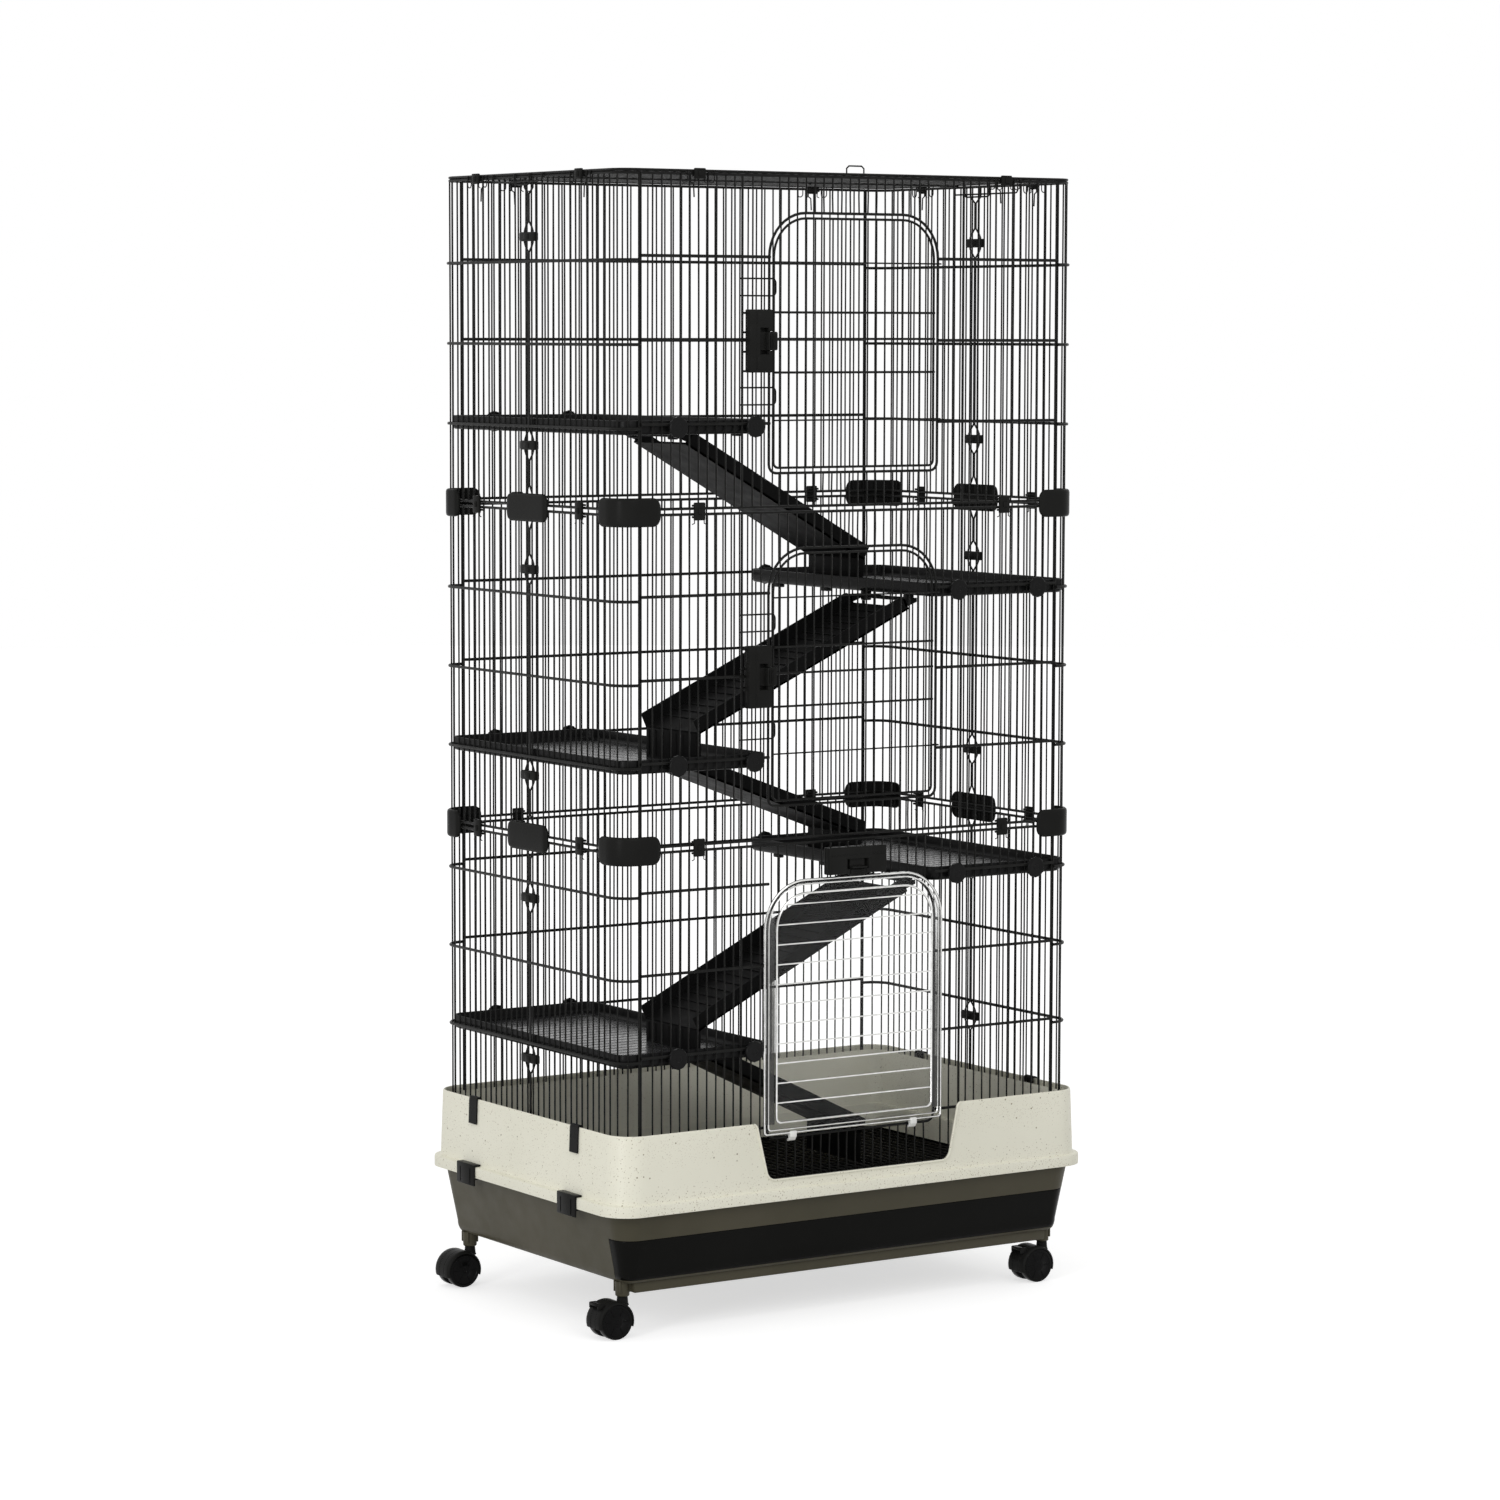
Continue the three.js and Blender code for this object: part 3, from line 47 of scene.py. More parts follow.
HALF_W, HALF_D, CORNER = 390, 245, 28
TIERS = {1: (204, 684), 2: (692, 1154), 3: (1162, 1624)}
RUNGS = {1: (280, 396, 512, 628), 2: (808, 924, 1040), 3: (1278, 1394, 1510)}
DOORWAY = {1: (264, 628), 2: (739, 1103), 3: (1209, 1573)}
PITCH = 15
BAR, RAIL, RUNG, POST = 1.25, 2.0, 2.3, 1.4
RUNG_OUT = 2.7
BEND_X = HALF_W - CORNER
POST_X = BEND_X - 1.6
PANEL_END = POST_X - 2.3
DOOR_HALF, DOORWAY_CORNER, DOOR_GAP = 145, 62, 7.5
DOOR_POST = 190
ROOF_Z = 1628.3
CLIP_X, CLIP_Y = 263, 142
CASTER_X, CASTER_Y = 368, 214

# --------------------------------------------------
# Materials
# --------------------------------------------------


class Nodes:
    """A material's node tree, with short ways to add and join nodes."""

    def __init__(self, name, **principled):
        self.material = bpy.data.materials.new(name)
        self.material.use_nodes = True
        self.tree = self.material.node_tree
        self.tree.nodes.clear()
        self.out = self.tree.nodes.new("ShaderNodeOutputMaterial")
        self.bsdf = self.tree.nodes.new("ShaderNodeBsdfPrincipled")
        self.join(self.bsdf, "BSDF", self.out, "Surface")
        for key, value in principled.items():
            self.bsdf.inputs[key.replace("_", " ")].default_value = value
        self.place = self.tree.nodes.new("ShaderNodeTexCoord")

    def join(self, a, out, b, into):
        self.tree.links.new(a.outputs[out], b.inputs[into])

    def noise(self, scale, detail=4.0, rough=0.5):
        node = self.tree.nodes.new("ShaderNodeTexNoise")
        node.inputs["Scale"].default_value = scale
        node.inputs["Detail"].default_value = detail
        node.inputs["Roughness"].default_value = rough
        self.join(self.place, "Object", node, "Vector")
        return node

    def ramp(self, source, out, stops):
        node = self.tree.nodes.new("ShaderNodeValToRGB")
        elements = node.color_ramp.elements
        while len(elements) < len(stops):
            elements.new(0.5)
        for element, (at, colour) in zip(elements, stops):
            element.position = at
            element.color = (*colour, 1) if isinstance(colour, tuple) else (colour, colour, colour, 1)
        self.join(source, out, node, "Fac")
        return node

    def vary(self, socket, noise, low, high):
        """Lets one of the surface's values drift with a noise."""
        self.join(self.ramp(noise, "Fac", [(0.3, low), (0.7, high)]), "Color", self.bsdf, socket)

    def sheet(self, smooth, rough):
        """A see-through surface mixed with an unevenly glossy one."""
        through = self.tree.nodes.new("ShaderNodeBsdfTransparent")
        mirror = self.tree.nodes.new("ShaderNodeBsdfGlossy")
        gloss = self.ramp(self.noise(18, 4), "Fac", [(0.35, smooth), (0.75, rough)])
        self.join(gloss, "Color", mirror, "Roughness")
        sheet = self.tree.nodes.new("ShaderNodeMixShader")
        self.join(through, "BSDF", sheet, 1)
        self.join(mirror, "BSDF", sheet, 2)
        return through, sheet

    def bump(self, noise, strength, distance):
        node = self.tree.nodes.new("ShaderNodeBump")
        node.inputs["Strength"].default_value = strength
        node.inputs["Distance"].default_value = distance
        self.join(noise, "Fac", node, "Height")
        self.join(node, "Normal", self.bsdf, "Normal")


def linear(r, g, b):
    """The scene-linear colour of an 8-bit screen colour."""
    return tuple(((c / 255 + 0.055) / 1.055) ** 2.4 if c > 10 else c / 255 / 12.92 for c in (r, g, b))


def coated_wire():
    """Powder-coated steel: near black, with the slight orange peel of the coat."""
    m = Nodes("coated_wire", Roughness=0.4, Specular_IOR_Level=0.1)
    m.vary("Base Color", m.noise(60, 3), linear(17, 17, 16), linear(27, 27, 26))
    m.vary("Roughness", m.noise(220, 2), 0.3, 0.46)
    m.bump(m.noise(1600, 2), 0.12, 0.0004)
    return m.material


def moulded(name, dark, light, rough, grain=0.1, gloss_spread=0.06, shine=0.08):
    """Injection-moulded plastic: faint tone drift, fine grain and uneven gloss."""
    m = Nodes(name, Roughness=rough, Specular_IOR_Level=shine)
    m.vary("Base Color", m.noise(7, 5), dark, light)
    m.vary("Roughness", m.noise(35, 4), rough - gloss_spread, rough + gloss_spread)
    m.bump(m.noise(1300, 3, 0.6), grain, 0.0003)
    return m.material


def speckled():
    """Warm off-white plastic with fine brown and grey specks of three sizes."""
    m = Nodes("speckled_plastic", Roughness=0.42, Specular_IOR_Level=0.3)
    base = m.ramp(m.noise(5, 4), "Fac", [(0.3, linear(226, 224, 207)), (0.7, linear(233, 231, 215))])
    mixed = base
    specks = ((110, 0.17, 0.74, (140, 129, 108)), (240, 0.24, 0.55, (176, 167, 148)),
              (420, 0.26, 0.5, (196, 189, 171)))
    for scale, reach, keep, colour in specks:
        cells = m.tree.nodes.new("ShaderNodeTexVoronoi")
        cells.inputs["Scale"].default_value = scale
        m.join(m.place, "Object", cells, "Vector")
        spot = m.ramp(cells, "Distance", [(reach * 0.6, 1.0), (reach, 0.0)])
        chosen = m.ramp(cells, "Color", [(keep, 0.0), (keep + 0.06, 1.0)])
        both = m.tree.nodes.new("ShaderNodeMath")
        both.operation = "MULTIPLY"
        m.join(spot, "Color", both, 0)
        m.join(chosen, "Color", both, 1)
        mix = m.tree.nodes.new("ShaderNodeMix")
        mix.data_type = "RGBA"
        mix.inputs["B"].default_value = (*linear(*colour), 1)
        m.join(both, 0, mix, "Factor")
        m.join(mixed, "Color" if mixed is base else "Result", mix, "A")
        mixed = mix
    m.join(mixed, "Result", m.bsdf, "Base Color")
    m.vary("Roughness", m.noise(30, 4), 0.36, 0.48)
    m.bump(m.noise(900, 3, 0.6), 0.08, 0.0004)
    return m.material


def plated():
    """Bright plated wire with a trace of brushing."""
    m = Nodes("plated_wire", Metallic=1.0, Roughness=0.16)
    m.vary("Base Color", m.noise(90, 3), linear(200, 200, 198), linear(226, 226, 224))
    m.vary("Roughness", m.noise(400, 2), 0.1, 0.24)
    return m.material


def clear():
    """Clear sheet: mostly see-through, with smears of haze and a reflection that grows at grazing angles."""
    m = Nodes("clear_sheet", Roughness=0.2)
    m.vary("Base Color", m.noise(9, 4), (0.86, 0.87, 0.86), (0.93, 0.935, 0.93))
    through, sheet = m.sheet(0.03, 0.1)
    through.inputs["Color"].default_value = (0.99, 0.992, 0.99, 1)
    edge_on = m.tree.nodes.new("ShaderNodeFresnel")
    edge_on.inputs["IOR"].default_value = 1.16
    hazed = m.tree.nodes.new("ShaderNodeMixShader")
    m.join(edge_on, "Fac", sheet, 0)
    m.join(m.ramp(m.noise(11, 3), "Fac", [(0.3, 0.004), (0.7, 0.012)]), "Color", hazed, 0)
    m.join(sheet, "Shader", hazed, 1)
    m.join(m.bsdf, "BSDF", hazed, 2)
    m.join(hazed, "Shader", m.out, "Surface")
    return m.material


def smoked():
    """Painted reflection along the clear sheet's upright edges: a grey see-through tint standing in for dark
    surroundings mirrored in the sheet, fading out below the arch.
    """
    m = Nodes("edge_with_painted_reflection", Roughness=0.2)
    level = m.tree.nodes.new("ShaderNodeSeparateXYZ")
    m.join(m.place, "Object", level, "Vector")
    through, sheet = m.sheet(0.05, 0.12)
    m.join(m.ramp(level, "Z", [(0.46, (0.36, 0.36, 0.35)), (0.59, (0.95, 0.95, 0.95))]),
           "Color", through, "Color")
    sheet.inputs[0].default_value = 0.05
    m.join(sheet, "Shader", m.out, "Surface")
    return m.material


WIRE = coated_wire()
BLACK = moulded("black_plastic", linear(27, 27, 26), linear(34, 34, 33), 0.3, 0.12, shine=0.035)
SHELF = moulded("shelf_plastic", linear(17, 17, 17), linear(25, 25, 25), 0.32, 0.1)
RAMP = moulded("ramp_plastic", linear(16, 16, 16), linear(24, 24, 24), 0.5, 0.1, shine=0.03)
FLOOR = moulded("shelf_floor", linear(40, 40, 41), linear(56, 56, 57), 0.24, 0.01, shine=0.6)
GLOSS = moulded("gloss_black", linear(12, 12, 10), linear(16, 16, 14), 0.16, 0.04, 0.03, 0.05)
TAUPE = moulded("taupe_plastic", linear(68, 65, 52), linear(76, 72, 59), 0.46, 0.12, shine=0.14)
WHEEL = moulded("wheel_plastic", linear(8, 8, 8), linear(13, 13, 13), 0.26, 0.08, shine=0.07)
WHITE = moulded("white_plastic", linear(230, 230, 226), linear(242, 242, 238), 0.35, 0.06, shine=0.4)
# The last of these paints a reflection: a grey tint for the door's edge strips, in place of dark surroundings
# mirrored in the clear sheet.
PALE, CHROME, CLEAR, PAINTED_REFLECTION = speckled(), plated(), clear(), smoked()

# --------------------------------------------------
# Mesh building
# --------------------------------------------------


def V(x, y, z):
    return Vector((x, y, z))


class Shape:
    """Collects wires, lofts and blocks in millimetres and turns them into one object."""

    def __init__(self):
        self.points = []
        self.faces = []

    def ring_strip(self, rings, closed=False, caps=True):
        """Joins rings of points into a skin, closed to a loop or capped at both ends."""
        start = len(self.points)
        n = len(rings[0])
        for ring in rings:
            self.points.extend(ring)
        count = len(rings)
        for k in range(count if closed else count - 1):
            a, b = start + k * n, start + (k + 1) % count * n
            for j in range(n):
                i = (j + 1) % n
                self.faces.append((a + j, a + i, b + i, b + j))
        if caps and not closed:
            self.faces.append(tuple(start + j for j in reversed(range(n))))
            last = start + (count - 1) * n
            self.faces.append(tuple(last + j for j in range(n)))

    def wire(self, points, radius, sides=8, closed=False):
        """A round wire along points. The frame is carried along so that it never twists."""
        count = len(points)
        tangents = []
        for k in range(count):
            before = points[k] - points[k - 1] if k or closed else None
            after = points[(k + 1) % count] - points[k] if k < count - 1 or closed else None
            parts = [v.normalized() for v in (before, after) if v is not None and v.length > 1e-9]
            tangents.append(sum(parts, Vector()).normalized())
        side = tangents[0].orthogonal().normalized()
        rings = []
        for k in range(count):
            t = tangents[k]
            if k:
                side = (side - t * side.dot(t)).normalized()
            up = t.cross(side)
            ring = []
            for j in range(sides):
                a = 2 * math.pi * j / sides
                ring.append(points[k] + side * (radius * math.cos(a)) + up * (radius * math.sin(a)))
            rings.append(ring)
        self.ring_strip(rings, closed)

    def block(self, a, b, soft=1.2, steps=2):
        """A box with rounded edges between two opposite corners."""
        centre = (a + b) / 2
        half = Vector([abs(h) for h in (b - a) / 2])
        r = min(soft, *(h * 0.98 for h in half))
        rings = []
        turns = [math.pi / 2 * k / steps for k in range(steps, -1, -1)]
        levels = [(-half.z + r * (1 - math.sin(a)), r * (1 - math.cos(a))) for a in turns]
        levels += [(-z, inset) for z, inset in reversed(levels)]
        for z, inset in levels:
            outline = rounded(half.x - inset, half.y - inset, max(r - inset, 0.05), steps)
            rings.append([centre + V(p.x, p.y, z) for p in outline])
        self.ring_strip(rings)

    def turned(self, profile, centre, axis, sides=24, caps=True):
        """A turned form: profile is (distance along the axis, radius)."""
        side = axis.orthogonal().normalized()
        up = axis.cross(side)
        rings = []
        for along, radius in profile:
            rings.append([centre + axis * along + side * (radius * math.cos(2 * math.pi * j / sides))
                          + up * (radius * math.sin(2 * math.pi * j / sides)) for j in range(sides)])
        self.ring_strip(rings, caps=caps)

    def loose(self, name):
        """The bare object, for cutting with or for finishing later."""
        mesh = bpy.data.meshes.new(name)
        mesh.from_pydata([p * MM for p in self.points], [], self.faces)
        mesh.validate()
        made = bpy.data.objects.new(name, mesh)
        bpy.context.collection.objects.link(made)
        pick(made)
        bpy.ops.object.mode_set(mode="EDIT")
        bpy.ops.mesh.select_all(action="SELECT")
        bpy.ops.mesh.normals_make_consistent(inside=False)
        bpy.ops.object.mode_set(mode="OBJECT")
        return made

    def build(self, name, material, body, *nodes, bevel=0, smooth=40):
        """The finished piece."""
        finish_piece(self.loose(name), material, body, nodes, bevel, smooth)


def pick(made):
    bpy.ops.object.select_all(action="DESELECT")
    bpy.context.view_layer.objects.active = made
    made.select_set(True)


def finish_piece(made, material, body, nodes, bevel=0, smooth=40):
    """Gives an object its material and rounding, its body and the nodes it replaces."""
    made.data.materials.clear()
    made.data.materials.append(material)
    if bevel:
        edge = made.modifiers.new("edges", "BEVEL")
        edge.width = bevel * MM
        edge.segments = 2
        edge.limit_method = "ANGLE"
        edge.angle_limit = math.radians(smooth)
    pick(made)
    bpy.ops.object.shade_smooth_by_angle(angle=math.radians(smooth))
    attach(made, body)
    if nodes:
        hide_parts(*nodes)


def arc(centre, radius, start, end, steps, u=X, v=Y):
    """Points along an arc from one angle in degrees to another, measured from u towards v."""
    out = []
    for k in range(steps + 1):
        a = math.radians(start + (end - start) * k / steps)
        out.append(centre + u * (radius * math.cos(a)) + v * (radius * math.sin(a)))
    return out


def rounded(half_x, half_y, radius, steps=6):
    """A rounded rectangle as a ring of points."""
    out = []
    for k, (sx, sy) in enumerate(((1, 1), (-1, 1), (-1, -1), (1, -1))):
        corner = V(sx * (half_x - radius), sy * (half_y - radius), 0)
        out += arc(corner, radius, k * 90, k * 90 + 90, steps)
    return out


def odd_steps(limit, pitch=PITCH):
    """Places at odd multiples of half a pitch, on both sides of the middle."""
    out = []
    at = pitch / 2
    while at < limit:
        out += [-at, at]
        at += pitch
    return sorted(out)


def arch(half, foot, top, y, shoulder, toe, steps=10):
    """A doorway's outline: round shoulders at the top and smaller curves at the foot."""
    return (arc(V(half - shoulder, y, top - shoulder), shoulder, 0, 90, steps, X, Z)
            + arc(V(shoulder - half, y, top - shoulder), shoulder, 90, 180, steps, X, Z)
            + arc(V(toe - half, y, foot + toe), toe, 180, 270, 4, X, Z)
            + arc(V(half - toe, y, foot + toe), toe, 270, 360, 4, X, Z))


def arch_height(x, half, top, shoulder):
    """How high an arch stands at a distance from its middle."""
    past = max(abs(x) - (half - shoulder), 0)
    return top - shoulder + math.sqrt(max(shoulder ** 2 - past ** 2, 0))


def jitter(seed, spread):
    """A small repeatable offset, for wires that aren't perfectly spaced."""
    return random.Random(repr(seed)).uniform(-spread, spread)


def cut_by(made, tool):
    """Cuts one object out of another and removes the tool."""
    cutter = made.modifiers.new("cut", "BOOLEAN")
    cutter.operation = "DIFFERENCE"
    cutter.solver = "EXACT"
    cutter.object = tool
    bpy.context.view_layer.objects.active = made
    bpy.ops.object.modifier_apply(modifier=cutter.name)
    bpy.data.objects.remove(tool)


# --------------------------------------------------
# Wire walls
# --------------------------------------------------


def upright(shape, x, y, low, high, seed=0):
    """An upright wire that bows a little within its wall."""
    lean = jitter(("lean", x, y, seed), 0.7)
    middle = V(x + lean * (abs(y) > 240), y + lean * (abs(y) <= 240), (low + high) / 2)
    shape.wire([V(x, y, low), middle, V(x, y, high)], BAR, 6)


def snap_clip(shape, at, along, out, low, high):
    """A small moulded clip hooked over two rails, with a sprung tail."""
    def box(a0, a1, d0, d1, z0, z1, soft=0.8):
        shape.block(at + along * a0 + out * d0 + Z * z0, at + along * a1 + out * d1 + Z * z1, soft)
    box(-9, 9, 1.6, 6.2, low, high, 1.4)
    box(-9, 9, -2.6, 1.7, high - 6, high - 3)
    box(-9, 9, -2.6, 1.7, low + 3, low + 6)
    box(-4, 4, 4, 8.4, (low + high) / 2 - 4, (low + high) / 2 + 4, 1.6)
    for a in (-8, 8):
        hook = [(a, 3.5, low + 3), (a, 3.6, low - 4), (a * 1.45, 3.4, low - 5.5)]
        shape.wire([at + along * p + out * d + Z * z for p, d, z in hook], 0.8, 5)


def flat_wires(tier, y, door):
    """Rails, end posts and cross wires of a front or back wall, split where it has a doorway."""
    low, high = TIERS[tier]
    out = math.copysign(1, y)
    shape = Shape()
    for z in (low, high):
        shape.wire([V(-PANEL_END, y, z), V(PANEL_END, y, z)], RAIL, 8)
    for side in (-1, 1):
        shape.wire([V(side * (PANEL_END - 1.3), y, low), V(side * (PANEL_END - 1.3), y, high)], POST, 8)
    for z in RUNGS[tier]:
        runs = [(-PANEL_END, -DOOR_HALF), (DOOR_HALF, PANEL_END)] if door else [(-PANEL_END, PANEL_END)]
        for a, b in runs:
            shape.wire([V(a, y + out * RUNG_OUT, z + 1), V(b, y + out * RUNG_OUT, z + 1)], RUNG, 6)
    return shape


for tier in (1, 2, 3):
    low, high = TIERS[tier]
    foot, top = DOORWAY[tier]
    wall = flat_wires(tier, -HALF_D, True)
    wall.wire(arch(DOOR_HALF, foot, top, -HALF_D, DOORWAY_CORNER, 12), RAIL, 8, closed=True)
    for side in (-1, 1):
        wall.wire([V(side * DOOR_POST, -HALF_D, low), V(side * DOOR_POST, -HALF_D, high)], 1.8, 8)
    for x in odd_steps(PANEL_END - 6):
        if abs(abs(x) - DOOR_POST) < 4 or abs(abs(x) - DOOR_HALF) < 4:
            continue
        if abs(x) > DOOR_HALF:
            upright(wall, x, -HALF_D, low, high, seed=tier)
        else:
            upright(wall, x, -HALF_D, low, foot)
            upright(wall, x, -HALF_D, arch_height(x, DOOR_HALF, top, DOORWAY_CORNER), high)
    if tier > 1:
        for z in (top - 104, foot + 108):
            y = -HALF_D + 2.7
            loop = [V(-DOOR_POST - 2, y, z - 12), V(-138, y, z - 12)]
            loop += arc(V(-138, y, z - 6), 6, 270, 360, 4, X, Z) + arc(V(-138, y, z + 6), 6, 0, 90, 4, X, Z)
            loop.append(V(-DOOR_POST - 2, y, z + 12))
            wall.wire(loop, 1.2, 6)
        for rise in (39, 12, -15, -42):
            z = RUNGS[tier][1] + rise
            wall.wire([V(-DOOR_POST - 2, -HALF_D - 2.4, z), V(-DOOR_HALF, -HALF_D - 2.4, z)], 1.6, 6)
    wall.build(f"front_wires_{tier}", WIRE, "cage", f"front_panel_{tier}")

    wall = flat_wires(tier, HALF_D, False)
    for x in odd_steps(PANEL_END - 6):
        upright(wall, x, HALF_D, low, high, seed=tier)
    wall.build(f"back_wires_{tier}", WIRE, "cage", f"back_panel_{tier}")

    for name, side in (("left", -1), ("right", 1)):
        wall = Shape()

        def path(z, out=0.0):
            radius = CORNER + out
            turn = 0 if side > 0 else 180
            bend = arc(V(side * BEND_X, HALF_D - CORNER, z), radius, turn, 90, 6)
            back = bend + [V(side * (POST_X - 1), HALF_D + out, z)]
            return [V(p.x, -p.y, p.z) for p in reversed(back)] + back

        for z in (low, high):
            wall.wire(path(z), RAIL, 8)
        for z in RUNGS[tier]:
            wall.wire(path(z - 5, RUNG_OUT), RUNG, 6)
        for end in (-1, 1):
            x = side * (POST_X - 0.6)
            wall.wire([V(x, end * HALF_D, low), V(x, end * HALF_D, high)], POST, 8)
            for angle in (30, 60):
                a = math.radians(angle)
                y = end * (HALF_D - CORNER + CORNER * math.sin(a))
                upright(wall, side * (BEND_X + CORNER * math.cos(a)), y, low, high)
        for y in odd_steps(HALF_D - CORNER + 2):
            upright(wall, side * HALF_W, y, low, high, seed=tier)
        clips = (low + (164 if tier == 1 else 84), high - 84)
        tight, wide = (0.9, 11.5) if side < 0 else (1.3, 13.0)
        for half in (-1, 1):
            spread = [(low, 8), (low + 16, 8), (low + 28, tight)]
            for z in clips:
                spread += [(z - 22, tight), (z - 14, wide * 0.7), (z - 8, wide)]
                spread += [(z + 8, wide), (z + 14, wide * 0.7), (z + 22, tight)]
            if tier == 3:
                spread += [(high - 24, tight), (high - 15, wide), (high, wide)]
            else:
                spread += [(high - 28, tight), (high - 16, 8), (high, 8)]
            wall.wire([V(side * HALF_W, half * dy, z) for z, dy in spread], 1.4, 6)
        wall.build(f"{name}_wires_{tier}", WIRE, "cage", f"{name}_panel_{tier}")
        blocks = Shape()
        for z in clips:
            blocks.block(V(side * HALF_W - 4.5, -20, z - 6.5), V(side * HALF_W + 4.5, 20, z + 6.5), 2.2, 3)
            blocks.block(V(side * HALF_W - 6, -7, z - 4), V(side * HALF_W + 6, 7, z + 4), 1.5)
        blocks.build(f"{name}_seam_clips_{tier}", BLACK, "cage")

clips = Shape()
for tier in (1, 2):
    middle = TIERS[tier][1] + 4
    for end in (-1, 1):
        for x in (-CLIP_X, CLIP_X):
            snap_clip(clips, V(x, end * HALF_D, 0), X, V(0, end, 0), middle - 12.5, middle + 12.5)
        for y in (-CLIP_Y, CLIP_Y):
            snap_clip(clips, V(end * HALF_W, y, 0), Y, V(end, 0, 0), middle - 12.5, middle + 12.5)
clips.build("rail_clips", BLACK, "cage")

straps = Shape()
section = ((-11, -0.9), (11, -0.9), (11, 0.9), (-11, 0.9))
for side in (-1, 1):
    for y in (-CLIP_Y, CLIP_Y):
        line = [V(side * 395.5, y, 274), V(side * 395.5, y, 290)]
        line += arc(V(side * 399, y, 290.5), 3.6, 180 if side > 0 else 0, 0 if side > 0 else 180, 6, X, Z)
        line += [V(side * 402.9, y, 288), V(side * 404.1, y, 254)]
        straps.ring_strip([[p + Y * w + (X * side) * d for w, d in section] for p in line])
straps.build("rim_straps", BLACK, "cage", bevel=0.5)

# --------------------------------------------------
# Seam connectors: pills that wrap the corners and lie flat on the sides
# --------------------------------------------------


def pill(path, middle, name, node):
    """Sweeps a crowned section along a path; its height closes down at the ends like a pill's."""
    lengths = [0.0]
    for a, b in zip(path, path[1:]):
        lengths.append(lengths[-1] + (b - a).length)
    total = lengths[-1]
    fine = []
    count = 44
    for k in range(count + 1):
        t = k / count
        s = total * (0.5 - 0.5 * math.cos(math.pi * t))
        i = max(j for j in range(len(lengths)) if lengths[j] <= s + 1e-9)
        i = min(i, len(path) - 2)
        f = (s - lengths[i]) / (lengths[i + 1] - lengths[i])
        fine.append((path[i].lerp(path[i + 1], f), s))
    quarter = ((0, 0), (0.45, 0), (0.85, 1.6), (1, 4.5))
    shape = Shape()
    rings = []
    for k, (p, s) in enumerate(fine):
        a = fine[max(k - 1, 0)][0]
        b = fine[min(k + 1, count)][0]
        out = (b - a).normalized().cross(Z)
        edge = min(s, total - s)
        r = 13
        half = 20 - r + math.sqrt(max(r * r - max(r - edge, 0) ** 2, 0)) if edge < r else 20
        half = max(half, 6)
        thick = 5 * min(1, 0.55 + edge / 12)
        section = [(2.3 + thick * share, rise - half) for share, rise in quarter]
        section += [(d, -z) for d, z in reversed(section)]
        rings.append([V(p.x, p.y, middle) + out * d + Z * z for d, z in section])
    shape.ring_strip(rings)
    shape.build(name, BLACK, "cage", node, smooth=50)


for seam, tier in ((1, 2), (2, 1)):
    middle = TIERS[tier][1] + 4
    for name, side in (("left", -1), ("right", 1)):
        x = side * HALF_W
        pill([V(x, -side * 55, 0), V(x, side * 55, 0)], middle,
             f"pill_{seam}_{name}_middle", f"connector_{seam}_{name}_middle")
        for end_name, end in (("front", -1), ("back", 1)):
            centre = V(side * BEND_X, end * (HALF_D - CORNER), 0)
            start, stop = (0 if side > 0 else 180), (90 if end > 0 else (-90 if side > 0 else 270))
            line = [V(x, centre.y - end * 23, 0)] + arc(centre, CORNER, start, stop, 12)
            line.append(V(centre.x - side * 35, end * HALF_D, 0))
            if side * end < 0:
                line.reverse()
            pill(line, middle, f"pill_{seam}_{end_name}_{name}", f"connector_{seam}_{end_name}_{name}")

# --------------------------------------------------
# Doors and latches
# --------------------------------------------------

for tier in (2, 3):
    foot, top = DOORWAY[tier][0] + DOOR_GAP, DOORWAY[tier][1] - DOOR_GAP
    y = -HALF_D - 0.5
    half, shoulder = DOOR_HALF - DOOR_GAP, DOORWAY_CORNER - DOOR_GAP
    door = Shape()
    door.wire(arch(half, foot, top, y, shoulder, DOOR_GAP), 1.8, 8, closed=True)
    for x in odd_steps(half - 4):
        door.wire([V(x, y, foot), V(x, y, arch_height(x, half, top, shoulder))], BAR, 6)
    cross = y - 2.9
    middle = RUNGS[tier][1]
    for z in (middle - 44, middle + 3, middle + 40):
        door.wire([V(-half, cross, z), V(half, cross, z)], 1.75, 6)
    for z in (RUNGS[tier][0] + 5, RUNGS[tier][2] - 6):
        line = [V(-half, cross, z), V(half, cross, z)] + arc(V(DOOR_HALF, -HALF_D, z), 4.4, 225, 520, 16)
        door.wire(line, 1.2, 6)
    door.build(f"wire_door_{tier}", WIRE, f"door_{tier}", f"door_{tier}")


